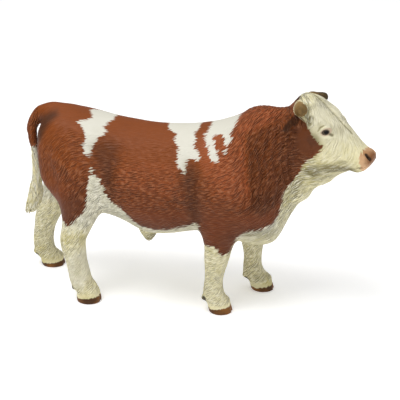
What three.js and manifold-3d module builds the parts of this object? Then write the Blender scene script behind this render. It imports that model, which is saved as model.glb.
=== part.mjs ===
// A toy farm animal: a walking bull in painted PVC, made of eleven mouldings that plug together.
// Millimetres, +X towards the head, +Y to the animal's left, +Z up, hooves on z = 0.
import * as THREE from "three";
import { mergeVertices } from "three/addons/utils/BufferGeometryUtils.js";
import Module from "manifold-3d";

const wasm = await Module();
wasm.setup();

// Driving sizes

// The skin of the body and the head is drawn from the rump to the muzzle by its section cuts.
// Each cut runs in side view from a point of the top line to a point of the under line.
// half is its half width, high the share of the cut at which it is widest, full its squareness.
const bodyCuts = [
  { top: [-62.9, 67], under: [-63.4, 57.5], half: 3.4, high: 0.5, full: 2 },
  { top: [-62.2, 71.8], under: [-61.2, 49.5], half: 9.4, high: 0.5, full: 2.1 },
  { top: [-59.4, 75.2], under: [-56, 42], half: 14, high: 0.5, full: 2.2 },
  { top: [-53.6, 76.6], under: [-48, 37.5], half: 17, high: 0.53, full: 2.3 },
  { top: [-45.5, 75.5], under: [-40, 34.6], half: 18.2, high: 0.54, full: 2.5 },
  { top: [-36.5, 73.7], under: [-33, 33.6], half: 18.6, high: 0.52, full: 2.4 },
  { top: [-26.5, 72.2], under: [-25.5, 31.8], half: 20.2, high: 0.48, full: 2.2 },
  { top: [-17.0, 71.2], under: [-17.5, 28.8], half: 21.6, high: 0.45, full: 2.2 },
  { top: [-6.5, 71.8], under: [-7.5, 29.4], half: 21.8, high: 0.45, full: 2.2 },
  { top: [4.0, 73.4], under: [3.0, 31.4], half: 20.8, high: 0.46, full: 2.2 },
  { top: [12.0, 75.8], under: [11.5, 30.6], half: 20.0, high: 0.46, full: 2.2 },
  { top: [18.0, 79.2], under: [19.5, 27.6], half: 19.2, high: 0.45, full: 2.1 },
  { top: [24.0, 81.6], under: [26, 25.8], half: 17.4, high: 0.47, full: 2 },
  { top: [29.0, 81.8], under: [31.8, 27.2], half: 15.6, high: 0.5, full: 2 },
  { top: [33.0, 81.2], under: [35, 32.2], half: 14.0, high: 0.53, full: 2 },
  { top: [35.8, 82.4], under: [37.8, 38.2], half: 12.8, high: 0.56, full: 2 },
  { top: [38.0, 84.8], under: [41.4, 44.2], half: 12.0, high: 0.6, full: 2.1 },
  { top: [40.6, 87.6], under: [45.6, 49.6], half: 11.6, high: 0.64, full: 2.2 },
  { top: [44.4, 88], under: [50.6, 53.5], half: 11.6, high: 0.7, full: 2.3 },
  { top: [48.8, 85.4], under: [54.4, 56.2], half: 11.8, high: 0.72, full: 2.4 },
  { top: [53.0, 82.0], under: [58.0, 59.2], half: 11.0, high: 0.68, full: 2.5 },
  { top: [57.8, 78.4], under: [61.2, 61.2], half: 9.0, high: 0.58, full: 2.5 },
  { top: [61.8, 75.0], under: [63.2, 62.0], half: 7.3, high: 0.52, full: 2.5 },
  { top: [65.2, 71.9], under: [65.2, 61.8], half: 6.7, high: 0.5, full: 2.6 },
  { top: [67.6, 70.4], under: [67.0, 62.3], half: 6.9, high: 0.5, full: 2.7 },
  { top: [69.4, 69.5], under: [68.6, 63.8], half: 5.8, high: 0.5, full: 2.6 },
  { top: [70.5, 68.0], under: [70.0, 65.8], half: 3.2, high: 0.5, full: 2.2 },
];

// Muscles and bones that stand out of the skin, or hollows that sink into it, on both flanks.
const muscles = [
  { name: "shoulder blade", at: [16, 20, 58], reach: [14, 14, 18], out: 1.8 },
  { name: "upper arm", at: [19, 19, 42], reach: [14, 14, 13], out: 2.2 },
  { name: "crest of the neck", at: [29, 12, 72], reach: [12, 12, 11], out: 1.2 },
  { name: "throat hollow", at: [41, 12, 60], reach: [9, 9, 12], out: -1.6 },
  { name: "cheek", at: [50.5, 9, 66], reach: [8.5, 8, 8.5], out: 1.8 },
  { name: "brow", at: [50.5, 11, 80.5], reach: [5.5, 6, 4], out: 1.1 },
  { name: "temple hollow", at: [45.5, 12, 77], reach: [4, 5, 4], out: -0.9 },
  { name: "hollow behind the shoulder", at: [-1, 21, 50], reach: [7, 12, 22], out: -1.6 },
  { name: "barrel", at: [-13, 21, 44], reach: [17, 14, 16], out: 1.2 },
  { name: "flank hollow", at: [-31, 19, 61], reach: [9, 10, 13], out: -2.4 },
  { name: "hook bone", at: [-38, 15, 73], reach: [8, 8, 6], out: 1.3 },
  { name: "pin bone", at: [-60.5, 8, 70], reach: [6, 6, 7], out: 1.2 },
  { name: "thigh", at: [-49, 18, 56], reach: [14, 12, 16], out: 2.2 },
];

// Half sizes of the limbs, front to back and sideways, at each height.
const foreSections = [
  { z: 0, deep: 4.7, wide: 4.7 },
  { z: 2.2, deep: 4.6, wide: 4.6 },
  { z: 4.4, deep: 4.4, wide: 4.4 },
  { z: 6.4, deep: 4.2, wide: 4.2 },
  { z: 9, deep: 4.1, wide: 3.9 },
  { z: 12, deep: 3.7, wide: 3.5 },
  { z: 15.6, deep: 3.8, wide: 3.5 },
  { z: 19.5, deep: 4.4, wide: 4.1 },
  { z: 23, deep: 5, wide: 4.7 },
  { z: 27, deep: 5.4, wide: 4.9 },
  { z: 31, deep: 6.6, wide: 5.6 },
  { z: 36, deep: 9, wide: 6.6 },
  { z: 42, deep: 11, wide: 7.2 },
  { z: 49, deep: 10.5, wide: 6.6 },
  { z: 55, deep: 7, wide: 4.6 },
];
const hindSections = [
  { z: 0, deep: 5.1, wide: 4.8 },
  { z: 2.2, deep: 5, wide: 4.7 },
  { z: 4.4, deep: 4.6, wide: 4.4 },
  { z: 6.4, deep: 4.2, wide: 4.1 },
  { z: 9, deep: 4.5, wide: 3.9 },
  { z: 12.5, deep: 4.5, wide: 3.6 },
  { z: 17.7, deep: 4.4, wide: 3.8 },
  { z: 22, deep: 5, wide: 4.3 },
  { z: 26.3, deep: 5.3, wide: 4.5 },
  { z: 31, deep: 5.9, wide: 4.9 },
  { z: 36.7, deep: 7.8, wide: 6.2 },
  { z: 43, deep: 10, wide: 7.2 },
  { z: 50, deep: 12, wide: 7.4 },
  { z: 58, deep: 11.6, wide: 6.4 },
  { z: 66, deep: 7.5, wide: 4.6 },
];

// Each limb's own stride: its centre line from the sole upwards.
const limbs = {
  right_foreleg: {
    sections: foreSections,
    axis: [
      [12.9, -12, 0], [11.8, -12, 4.2], [10.2, -12, 6.6], [9.8, -12, 9.2], [9.9, -12, 13],
      [10.9, -12, 21], [11.7, -12.2, 27], [13, -12.8, 36], [15.5, -12.6, 55],
    ],
  },
  left_foreleg: {
    sections: foreSections,
    axis: [
      [25.4, 12, 0], [24.1, 12, 4.2], [21.9, 12, 6.8], [21, 12, 10], [21, 12, 15],
      [20.6, 12, 22], [19.2, 12.2, 28], [17.4, 12.8, 36], [16, 12.6, 55],
    ],
  },
  right_hindleg: {
    sections: hindSections,
    axis: [
      [-41, -15, 0], [-41.4, -15, 4.4], [-42.6, -15, 6.6], [-44.2, -15, 9.2], [-45, -14.8, 13],
      [-46.8, -14.4, 21], [-47.2, -14, 26], [-45.4, -13.4, 31.5], [-44.1, -12.6, 37],
      [-43.9, -12.2, 43], [-46.5, -11.4, 51], [-50, -8, 66],
    ],
  },
  left_hindleg: {
    sections: hindSections,
    axis: [
      [-67.2, 15, 0], [-68.1, 15, 3.8], [-70.1, 15, 6], [-71.2, 15, 8.8], [-71, 14.8, 14],
      [-69.8, 14.5, 19], [-68, 14, 24], [-64.4, 13.4, 30], [-60, 12.6, 37], [-55.4, 12.2, 44],
      [-52, 11.4, 52], [-51, 8, 66],
    ],
  },
};

// The legs are cut level above the knee and above the hock.
const foreSeamHeight = 28;
const hindSeamHeight = 33;
const seamHeights = {
  right_foreleg: foreSeamHeight,
  left_foreleg: foreSeamHeight,
  right_hindleg: hindSeamHeight,
  left_hindleg: hindSeamHeight,
};
const cleftWidth = 0.9;
const cleftHeight = 5.2;
const cleftDepth = 2.6;
const dewclawRadius = 1.05;
const dewclawSpread = 4.6;
const dewclawHeight = 6.2;
const dewclawStretch = 1.2;

// Every moulding has a drafted peg that is glued into a socket.
const legPegRadius = 2.2;
const legPegLength = 9;
const neckPegRadius = 6;
const neckPegLength = 10;
const tailPegRadius = 1.3;
const tailPegLength = 6;
const pegRooted = 1; // how far a peg starts inside its own moulding
const pegDraft = 0.88; // tip radius over root radius, so that the moulding lets go
const glueGap = 0.3;

// The neck joint is a flat cut behind the ears and the jaw, given before the head turns.
const neckSeamTop = [37, 83.8];
const neckSeamUnder = [44, 47.6];
const neckPegShare = 0.42; // share of the seam, from its top, at which the peg stands

// The head is turned to the animal's right and leans, over a length of neck.
const headPivot = [34, 0, 66];
const headTurn = 13;
const headLean = -3;
const headBend = 12;

// A horn from its root inside the head to its blunt tip.
const hornRoot = [41.6, 6.6, 84.7];
const hornStations = [
  { at: [0, -3, -0.3], r: 2.1 },
  { at: [0, 0, 0], r: 2.2 },
  { at: [1, 2, -0.1], r: 2.35 },
  { at: [2.4, 3.6, 0], r: 2.25 },
  { at: [3.6, 5, 0.3], r: 1.95 },
  { at: [4.3, 5.9, 0.5], r: 1.5 },
  { at: [4.6, 6.3, 0.6], r: 0.8 },
];

// An ear is a cupped leaf.
const earRoot = [40.8, 10.4, 80.4];
const earAcross = [0.78, 0, -0.62];
const earStations = [
  { at: [0.2, -2.6, -0.1], r: 1.5, thick: 1, cup: 0 },
  { at: [0, 0, 0], r: 1.8, thick: 1.05, cup: 0 },
  { at: [-0.5, 3.4, 0.6], r: 3, thick: 1.1, cup: 0.6 },
  { at: [-1.5, 8, 0.7], r: 3.5, thick: 1.1, cup: 1.1 },
  { at: [-2.6, 10.8, 0.8], r: 2.3, thick: 0.8, cup: 0.6 },
  { at: [-3.4, 12.3, 0.9], r: 0.6, thick: 0.4, cup: 0 },
];

const eyeAt = [53.9, 9.3, 77.3];
const eyeHalfSizes = [1.9, 1.5, 1.6];
const lidRadius = 2.05;
const lidThickness = 0.42;
const lidLength = 1.15; // length over the ring it is drawn from
const lidOpening = 0.8; // height over the same ring
const lidStand = 0.45;
const eyeTilt = 26;
const eyeForward = 23;
const nostrilAt = [69.5, 4.7, 68.2];
const nostrilHalfSizes = [2, 1.5, 1];
const mouthHeight = 63.6;
const mouthLength = 7;
const mouthGap = 0.5;
const mouthDepth = 2;
const mouthSlope = 17;

// The tail stands off the rump, curls over, hangs, and ends in a switch of hair.
const tailStations = [
  { at: [-51, 0, 72.2], r: 3.2 },
  { at: [-57, 0, 74.3], r: 3.2 },
  { at: [-61.2, 0, 73.9], r: 3 },
  { at: [-64.5, 0, 72], r: 2.8 },
  { at: [-66.8, 0, 69], r: 2.4 },
  { at: [-68.1, 0, 65], r: 2 },
  { at: [-68.1, 0, 60.6], r: 1.7 },
  { at: [-67.2, 0, 56.4], r: 1.4 },
  { at: [-66.7, 0, 50.6], r: 1.6 },
  { at: [-66.9, 0, 44], r: 2.2 },
  { at: [-67.7, 0, 37.6], r: 2.8 },
  { at: [-69.2, 0, 32.8], r: 2.5 },
  { at: [-70.7, 0, 29.9], r: 0.9 },
];
const tailSeamBehindRump = 0.5;

// Half outlines of the sheath, as shares of its radius and height, from the tip up.
const sheathProfile = [[0, 0], [0.3, 0.08], [0.75, 0.5], [1, 1], [0, 1.3]];
const sheathAt = [-19.6, 0, 21.6];
const sheathHeight = 9;
const sheathRadius = 4;
const sheathLean = 9;
const scrotumAt = [-49, 0, 35];
const scrotumHalfSizes = [4.2, 5, 6.6];

// How finely the curves are drawn.
const bodySides = 36;
const limbSides = 18;
const roundSides = 12;
const stepsPerStation = 2;
const lineSteps = 120;
const lidBandSides = 6;
const smallDetail = 1;
const largeDetail = 2;
const weldDistance = 1e-4;

// Points and directions

const right = -1;
const left = 1;
const farOut = 200; // beyond every part of the figure
const forward = new THREE.Vector3(1, 0, 0);
const upward = new THREE.Vector3(0, 0, 1);

function vector(list) {
  return new THREE.Vector3(...list);
}

function onSide(list, side) {
  return [list[0], side * list[1], list[2]];
}

function added(a, b) {
  return a.map((value, i) => value + b[i]);
}

function turnTo(direction, from) {
  return new THREE.Quaternion().setFromUnitVectors(from, direction);
}

// One column of a table as a smooth function of the way along the table, from 0 to 1.
function column(rows, read) {
  const curve = new THREE.SplineCurve(rows.map((row, i) => new THREE.Vector2(i, read(row))));
  return (t) => curve.getPoint(t).y;
}

function smoothLine(points) {
  return new THREE.CatmullRomCurve3(points.map(vector), false, "centripetal");
}

function aroundRing(sides, place) {
  return Array.from({ length: sides }, (_, k) => place((2 * Math.PI * k) / sides));
}

// Turns and leans what lies ahead of the pivot, more and more over the length of the bend.
function turnHead(point) {
  const pivot = vector(headPivot);
  const share = THREE.MathUtils.smoothstep(point.x, pivot.x, pivot.x + headBend);
  return point
    .sub(pivot)
    .applyAxisAngle(forward, THREE.MathUtils.degToRad(headLean * share))
    .applyAxisAngle(upward, THREE.MathUtils.degToRad(-headTurn * share))
    .add(pivot);
}

// The same turn for a whole geometry that lies on the head.
function onHead(geometry) {
  const position = geometry.attributes.position;
  const point = new THREE.Vector3();
  for (let i = 0; i < position.count; i++) {
    turnHead(point.fromBufferAttribute(position, i));
    position.setXYZ(i, point.x, point.y, point.z);
  }
  return geometry;
}

// Shapes

// Joins rings of points, all in the same order, into one closed skin with a fan at each end.
function loft(rings) {
  const sides = rings[0].length;
  const points = rings.flat();
  const faces = [];
  for (let i = 0; i + 1 < rings.length; i++) {
    for (let k = 0; k < sides; k++) {
      const a = i * sides + k;
      const b = i * sides + ((k + 1) % sides);
      faces.push(a, b, b + sides, a, b + sides, a + sides);
    }
  }
  [0, rings.length - 1].forEach((i) => {
    const middle = rings[i].reduce((sum, p) => sum.add(p), new THREE.Vector3()).divideScalar(sides);
    const hub = points.push(middle) - 1;
    for (let k = 0; k < sides; k++) {
      const a = i * sides + k;
      const b = i * sides + ((k + 1) % sides);
      faces.push(...(i === 0 ? [hub, b, a] : [hub, a, b]));
    }
  });
  const geometry = new THREE.BufferGeometry().setFromPoints(points);
  geometry.setIndex(faces);
  return geometry;
}

// A geometry as a solid that can be joined and cut, whichever way its faces pointed.
function solid(geometry) {
  const bare = geometry.clone();
  bare.deleteAttribute("normal");
  bare.deleteAttribute("uv");
  const merged = mergeVertices(bare, weldDistance);
  const triVerts = new Uint32Array(merged.index.array);
  const vertProperties = merged.attributes.position.array;
  const made = new wasm.Manifold(new wasm.Mesh({ numProp: 3, vertProperties, triVerts }));
  if (made.volume() > 0) return made;
  triVerts.reverse();
  return new wasm.Manifold(new wasm.Mesh({ numProp: 3, vertProperties, triVerts }));
}

function geometryOf(made) {
  const { numProp, numVert, vertProperties, triVerts } = made.getMesh();
  const positions = new Float32Array(numVert * 3);
  for (let i = 0; i < numVert; i++) {
    positions.set(vertProperties.subarray(i * numProp, i * numProp + 3), i * 3);
  }
  const geometry = new THREE.BufferGeometry();
  geometry.setAttribute("position", new THREE.BufferAttribute(positions, 3));
  geometry.setIndex(new THREE.BufferAttribute(triVerts, 1));
  geometry.computeVertexNormals();
  return geometry;
}

function ball(at, halfSizes, detail) {
  return new THREE.IcosahedronGeometry(1, detail).scale(...halfSizes).translate(...at);
}

// A box between its lowest and its highest corner.
function block(low, high) {
  const size = high.map((value, i) => value - low[i]);
  const middle = high.map((value, i) => (value + low[i]) / 2);
  return new THREE.BoxGeometry(...size).translate(...middle);
}

// A drafted peg through a joint, along a direction. Grown by the glue gap it is its socket.
function peg(joint, along, radius, length, gap = 0) {
  const full = length + pegRooted + gap;
  const shape = new THREE.CylinderGeometry(radius * pegDraft + gap, radius + gap, full, roundSides);
  shape.translate(0, full / 2 - pegRooted, 0);
  shape.applyQuaternion(turnTo(along, new THREE.Vector3(0, 1, 0)));
  return solid(shape.translate(joint.x, joint.y, joint.z));
}

// A round or leaf-shaped body along its stations, on one side of the figure.
function stem(root, stations, across, side, gap = 0) {
  const line = smoothLine(stations.map((s) => onSide(added(root, s.at), side)));
  const wide = column(stations, (s) => s.r + gap);
  const thick = column(stations, (s) => (s.thick ?? s.r) + gap);
  const cup = column(stations, (s) => s.cup ?? 0);
  const steps = (stations.length - 1) * stepsPerStation;
  const rings = [];
  for (let i = 0; i <= steps; i++) {
    const t = i / steps;
    const centre = line.getPoint(t);
    const along = line.getTangent(t);
    if (i === 0) centre.addScaledVector(along, -gap);
    const flat = vector(across).projectOnPlane(along).normalize();
    const deep = new THREE.Vector3().crossVectors(flat, along).multiplyScalar(side);
    rings.push(aroundRing(roundSides, (angle) => {
      const out = wide(t) * Math.cos(angle);
      const rise = thick(t) * Math.sin(angle) - cup(t) * Math.cos(angle) ** 2;
      return centre.clone().addScaledVector(flat, out).addScaledVector(deep, rise);
    }));
  }
  return loft(rings);
}

// Body and head

// Moves a point of the skin outward over a muscle, or inward over a hollow.
function swell(point, outward) {
  for (const { at, reach, out } of muscles) {
    const side = point.y < 0 ? right : left;
    const away = vector(onSide(at, side)).sub(point).divide(vector(reach)).lengthSq();
    if (away < 1) point.addScaledVector(outward, out * (1 - away) ** 2);
  }
  return point;
}

function bodySkin() {
  const topX = column(bodyCuts, (cut) => cut.top[0]);
  const topZ = column(bodyCuts, (cut) => cut.top[1]);
  const underX = column(bodyCuts, (cut) => cut.under[0]);
  const underZ = column(bodyCuts, (cut) => cut.under[1]);
  const half = column(bodyCuts, (cut) => cut.half);
  const high = column(bodyCuts, (cut) => cut.high);
  const full = column(bodyCuts, (cut) => cut.full);
  const steps = (bodyCuts.length - 1) * stepsPerStation;
  const rings = [];
  for (let i = 0; i <= steps; i++) {
    const t = i / steps;
    const top = new THREE.Vector3(topX(t), 0, topZ(t));
    const under = new THREE.Vector3(underX(t), 0, underZ(t));
    const middle = under.clone().lerp(top, high(t));
    const skew = Math.log(high(t)) / Math.log(0.5);
    rings.push(aroundRing(bodySides, (angle) => {
      const point = under.clone().lerp(top, ((1 + Math.cos(angle)) / 2) ** skew);
      const bulge = Math.abs(Math.sin(angle)) ** (2 / full(t));
      point.y = half(t) * bulge * Math.sign(Math.sin(angle));
      return turnHead(swell(point, point.clone().sub(middle).normalize()));
    }));
  }
  return solid(loft(rings));
}

// The neck joint after the head has turned: two points of its middle line and its facing.
const neckTop = turnHead(new THREE.Vector3(neckSeamTop[0], 0, neckSeamTop[1]));
const neckUnder = turnHead(new THREE.Vector3(neckSeamUnder[0], 0, neckSeamUnder[1]));
const neckJoint = neckTop.clone().lerp(neckUnder, neckPegShare);
const neckFacing = new THREE.Vector3()
  .crossVectors(upward, neckTop.clone().sub(neckUnder).setY(0))
  .cross(neckTop.clone().sub(neckUnder))
  .normalize();
if (neckFacing.x < 0) neckFacing.negate();
const neckBack = neckFacing.clone().negate();

function aheadOfNeck(offset) {
  const half = farOut / 2;
  const at = neckJoint.clone().addScaledVector(neckFacing, offset);
  const space = block([0, -half, -half], [farOut, half, half]);
  return solid(space.applyQuaternion(turnTo(neckFacing, forward)).translate(at.x, at.y, at.z));
}

function horn(side, gap) {
  return solid(onHead(stem(hornRoot, hornStations, [0, 0, 1], side, gap)));
}

function ear(side, gap) {
  return solid(onHead(stem(earRoot, earStations, earAcross, side, gap)));
}

function eyelids(side) {
  const ring = new THREE.TorusGeometry(lidRadius, lidThickness, lidBandSides, limbSides);
  ring.scale(lidLength, lidOpening, 1).rotateX(Math.PI / 2);
  ring.rotateY(THREE.MathUtils.degToRad(eyeTilt));
  ring.rotateZ(THREE.MathUtils.degToRad(-side * eyeForward));
  return ring.translate(...onSide(added(eyeAt, [0, lidStand, 0]), side));
}

// The slit between the lips, as deep as it shows and no deeper.
function mouth() {
  const lips = bodyCuts.at(-1);
  const muzzleCuts = bodyCuts.filter((cut) => cut.top[0] > lips.top[0] - mouthLength);
  const width = Math.max(...muzzleCuts.map((cut) => cut.half));
  const slit = block([-mouthLength, -farOut, -mouthGap / 2], [0, farOut, mouthGap / 2]);
  slit.rotateY(THREE.MathUtils.degToRad(mouthSlope));
  slit.translate(lips.top[0] + mouthDepth / 2, 0, mouthHeight);
  const tongue = block(
    [lips.top[0] - farOut, mouthDepth - width, 0],
    [lips.top[0] - mouthDepth, width - mouthDepth, farOut],
  );
  return solid(onHead(slit)).subtract(solid(onHead(tongue)));
}

function headPiece(skin) {
  let head = skin.intersect(aheadOfNeck(glueGap));
  for (const side of [right, left]) {
    head = head
      .add(solid(onHead(ball(onSide(eyeAt, side), eyeHalfSizes, smallDetail))))
      .add(solid(onHead(eyelids(side))))
      .subtract(solid(onHead(ball(onSide(nostrilAt, side), nostrilHalfSizes, smallDetail))))
      .subtract(horn(side, glueGap))
      .subtract(ear(side, glueGap));
  }
  return head
    .subtract(mouth())
    .add(peg(neckJoint, neckBack, neckPegRadius, neckPegLength));
}

// Limbs

// The centre of a limb at a height, and how far the limb leans there.
function limbAt({ axis }, height) {
  const line = smoothLine(axis).getSpacedPoints(lineSteps);
  const next = Math.max(1, line.findIndex((p) => p.z >= height));
  const low = line[next - 1];
  const high = line[next];
  const centre = low.clone().lerp(high, (height - low.z) / (high.z - low.z));
  return { centre, lean: Math.abs(high.x - low.x) / (high.z - low.z) };
}

// A limb as a stack of level sections. Where it leans they are longer, so it keeps its girth.
function limbSkin(limb, gap = 0) {
  const height = column(limb.sections, (s) => s.z);
  const deep = column(limb.sections, (s) => s.deep + gap);
  const wide = column(limb.sections, (s) => s.wide + gap);
  const steps = (limb.sections.length - 1) * stepsPerStation;
  const rings = [];
  for (let i = 0; i <= steps; i++) {
    const t = i / steps;
    const { centre, lean } = limbAt(limb, height(t));
    const stretch = Math.hypot(1, Math.min(lean, 1));
    rings.push(aroundRing(limbSides, (angle) => new THREE.Vector3(
      centre.x + deep(t) * stretch * Math.cos(angle),
      centre.y + wide(t) * Math.sin(angle),
      height(t),
    )));
  }
  return solid(loft(rings));
}

function below(height) {
  return solid(block([-farOut, -farOut, -farOut], [farOut, farOut, height]));
}

// A leg from its level seam down, with its peg, cloven hoof and dewclaws.
function legPiece(name) {
  const limb = limbs[name];
  const seam = seamHeights[name];
  const sole = limbAt(limb, 0).centre;
  const fetlock = limbAt(limb, dewclawHeight).centre;
  const toe = sole.x + limb.sections[0].deep;
  const heel = fetlock.x - limb.sections.find((s) => s.z >= dewclawHeight).deep;
  const cleft = block(
    [toe - cleftDepth, sole.y - cleftWidth / 2, -cleftWidth],
    [toe + cleftDepth, sole.y + cleftWidth / 2, cleftHeight],
  );
  let leg = limbSkin(limb).intersect(below(seam)).subtract(solid(cleft));
  for (const side of [right, left]) {
    const at = [heel, fetlock.y + (side * dewclawSpread) / 2, dewclawHeight];
    const halfSizes = [dewclawRadius, dewclawRadius, dewclawRadius * dewclawStretch];
    leg = leg.add(solid(ball(at, halfSizes, smallDetail)));
  }
  return leg.add(peg(limbAt(limb, seam).centre, upward, legPegRadius, legPegLength));
}

// Tail and torso

const tailSeamX = Math.min(...bodyCuts.flatMap((cut) => [cut.top[0], cut.under[0]])) - tailSeamBehindRump;
const tailLine = smoothLine(tailStations.map((s) => s.at)).getSpacedPoints(lineSteps);
const tailJoint = tailLine.find((p) => p.x <= tailSeamX).clone().setX(tailSeamX);

function tailSkin() {
  return solid(stem([0, 0, 0], tailStations, [0, 1, 0], left));
}

function behindTailSeam() {
  return solid(block([-farOut, -farOut, -farOut], [tailSeamX, farOut, farOut]));
}

function tailPiece() {
  return tailSkin()
    .intersect(behindTailSeam())
    .add(peg(tailJoint, forward, tailPegRadius, tailPegLength));
}

function sheath() {
  const points = sheathProfile.map(([r, z]) => new THREE.Vector2(r * sheathRadius, z * sheathHeight));
  const cone = new THREE.LatheGeometry(points, roundSides).rotateX(Math.PI / 2);
  cone.rotateY(THREE.MathUtils.degToRad(-sheathLean));
  return solid(cone.translate(...sheathAt));
}

function torsoPiece(skin) {
  let torso = skin
    .subtract(aheadOfNeck(0))
    .add(sheath())
    .add(solid(ball(scrotumAt, scrotumHalfSizes, largeDetail)))
    .add(tailSkin().subtract(behindTailSeam()));
  for (const [name, limb] of Object.entries(limbs)) {
    torso = torso.add(limbSkin(limb).subtract(below(seamHeights[name])));
  }
  for (const [name, limb] of Object.entries(limbs)) {
    const { centre } = limbAt(limb, seamHeights[name]);
    torso = torso
      .subtract(limbSkin(limb, glueGap).intersect(below(seamHeights[name])))
      .subtract(peg(centre, upward, legPegRadius, legPegLength, glueGap));
  }
  return torso
    .subtract(peg(neckJoint, neckBack, neckPegRadius, neckPegLength, glueGap))
    .subtract(peg(tailJoint, forward, tailPegRadius, tailPegLength, glueGap));
}

// Paints and pieces

const redBrown = new THREE.MeshStandardMaterial({ color: 0x8b4627, roughness: 0.55, metalness: 0 });
const cream = new THREE.MeshStandardMaterial({ color: 0xe3dcc0, roughness: 0.6, metalness: 0 });
const hornBrown = new THREE.MeshStandardMaterial({ color: 0x7a5c34, roughness: 0.5, metalness: 0 });

const bull = new THREE.Group();

function addPiece(name, made, paint) {
  const mesh = new THREE.Mesh(geometryOf(made), paint);
  mesh.name = name;
  bull.add(mesh);
}

const skin = bodySkin();
addPiece("torso", torsoPiece(skin), redBrown);
addPiece("head", headPiece(skin), cream);
addPiece("tail", tailPiece(), redBrown);
for (const name of Object.keys(limbs)) addPiece(name, legPiece(name), cream);
for (const [word, side] of [["right", right], ["left", left]]) {
  addPiece(`${word}_horn`, horn(side, 0), hornBrown);
  addPiece(`${word}_ear`, ear(side, 0), redBrown);
}

// The origin lies on the ground, under the middle of the figure.
const box = new THREE.Box3().setFromObject(bull);
bull.position.set(-(box.min.x + box.max.x) / 2, -(box.min.y + box.max.y) / 2, 0);

export default bull;
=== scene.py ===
# %% [markdown]
# A walking bull: a toy figure of moulded and hand-painted PVC
#
# The real figure is about 146 mm long. It is pressed in a soft, slightly glossy plastic, in
# several mouldings that are plugged together, glued and painted over, so no seam shows. The
# sculptor's hair strokes are in the mould, and the painter rubs a thin dark wash into them.
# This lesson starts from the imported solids, melts them into one skin, carves the hair into it,
# paints it, and parts it again where the real mouldings meet.

import math
from types import SimpleNamespace

import bmesh
import bpy
import numpy as np
from mathutils import Matrix, Vector
from mathutils.bvhtree import BVHTree
from mathutils.kdtree import KDTree


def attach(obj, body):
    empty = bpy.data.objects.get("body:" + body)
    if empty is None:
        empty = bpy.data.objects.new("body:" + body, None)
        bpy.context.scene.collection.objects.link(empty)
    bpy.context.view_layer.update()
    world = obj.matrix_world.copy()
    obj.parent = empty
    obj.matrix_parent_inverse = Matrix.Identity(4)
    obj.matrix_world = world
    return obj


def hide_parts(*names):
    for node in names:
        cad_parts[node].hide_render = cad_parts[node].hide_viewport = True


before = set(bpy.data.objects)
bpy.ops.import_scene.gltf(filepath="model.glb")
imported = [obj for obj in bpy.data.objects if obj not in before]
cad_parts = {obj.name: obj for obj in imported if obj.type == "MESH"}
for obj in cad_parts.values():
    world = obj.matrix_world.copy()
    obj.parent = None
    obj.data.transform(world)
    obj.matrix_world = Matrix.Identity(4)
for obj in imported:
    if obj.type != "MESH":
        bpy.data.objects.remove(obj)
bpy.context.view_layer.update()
print("solids:", sorted(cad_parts))

# %% [markdown]
# Sizes in this lesson are millimetres, because a toy is thought of in millimetres. The packed
# solids stand with the middle of their box over the origin, in metres. Two small functions go
# from one to the other, and the last step of every piece is the way back. Two more are used all
# through the lesson: a soft step, and a fold that lays the right flank on the left one.

# %% Millimetres and metres
ORIGIN = np.array([2.866, 0.018, 0.0])  # the sculptor's origin, from the middle of the box
MM = 1000.0
RIGHT, LEFT = -1, 1


def in_mm(points):
    return np.asarray(points, float) * MM - ORIGIN


def in_metres(points):
    return (np.asarray(points, float) + ORIGIN) / MM


def smoothstep(value, start, end):
    """Goes softly from 0 at start to 1 at end, whichever of the two is larger."""
    share = np.clip((value - start) / (end - start), 0, 1)
    return share * share * (3 - 2 * share)


def folded(points):
    return np.stack([points[:, 0], abs(points[:, 1]), points[:, 2]], axis=1)


# %% [markdown]
# A mesh with hundreds of thousands of points is too slow to change point by point in Python.
# Each step therefore reads the points into one array, changes all of them at once, and writes
# them back.

# %% Meshes as arrays
def points_of(mesh):
    flat = np.empty(len(mesh.vertices) * 3, np.float32)
    mesh.vertices.foreach_get("co", flat)
    return flat.reshape(-1, 3).astype(float)


def triangles_of(mesh):
    mesh.calc_loop_triangles()
    flat = np.empty(len(mesh.loop_triangles) * 3, np.int32)
    mesh.loop_triangles.foreach_get("vertices", flat)
    return flat.reshape(-1, 3)


def mesh_of(name, points, triangles):
    mesh = bpy.data.meshes.new(name)
    mesh.vertices.add(len(points))
    mesh.vertices.foreach_set("co", np.asarray(points, np.float32).ravel())
    mesh.loops.add(triangles.size)
    mesh.loops.foreach_set("vertex_index", triangles.astype(np.int32).ravel())
    mesh.polygons.add(len(triangles))
    mesh.polygons.foreach_set("loop_start", np.arange(0, triangles.size, 3, dtype=np.int32))
    mesh.update(calc_edges=True)
    return mesh


def put_in_scene(name, mesh):
    made = bpy.data.objects.new(name, mesh)
    bpy.context.scene.collection.objects.link(made)
    return made


def unit(vectors):
    return vectors / np.maximum(np.linalg.norm(vectors, axis=1, keepdims=True), 1e-9)


def facings(points, triangles):
    a, b, c = (points[triangles[:, k]] for k in range(3))
    return np.cross(b - a, c - a)


def normals_of(points, triangles):
    facing = facings(points, triangles)
    total = np.zeros_like(points)
    for corner in range(3):
        for axis in range(3):
            total[:, axis] += np.bincount(triangles[:, corner], facing[:, axis], len(points))
    return unit(total)


print("the torso's solid has", len(triangles_of(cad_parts["torso"].data)), "triangles")

# %% [markdown]
# The head of the real figure looks a little to its right. Its features are easier to place on
# a straight head, so the turn that the solids were given is written down once, with its way
# back, which is found by repeating the turn until it settles.

# %% The turn of the head
HEAD_PIVOT = np.array([34.0, 0.0, 66.0])
HEAD_TURN, HEAD_LEAN, HEAD_BEND = math.radians(13), math.radians(-3), 12.0


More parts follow.
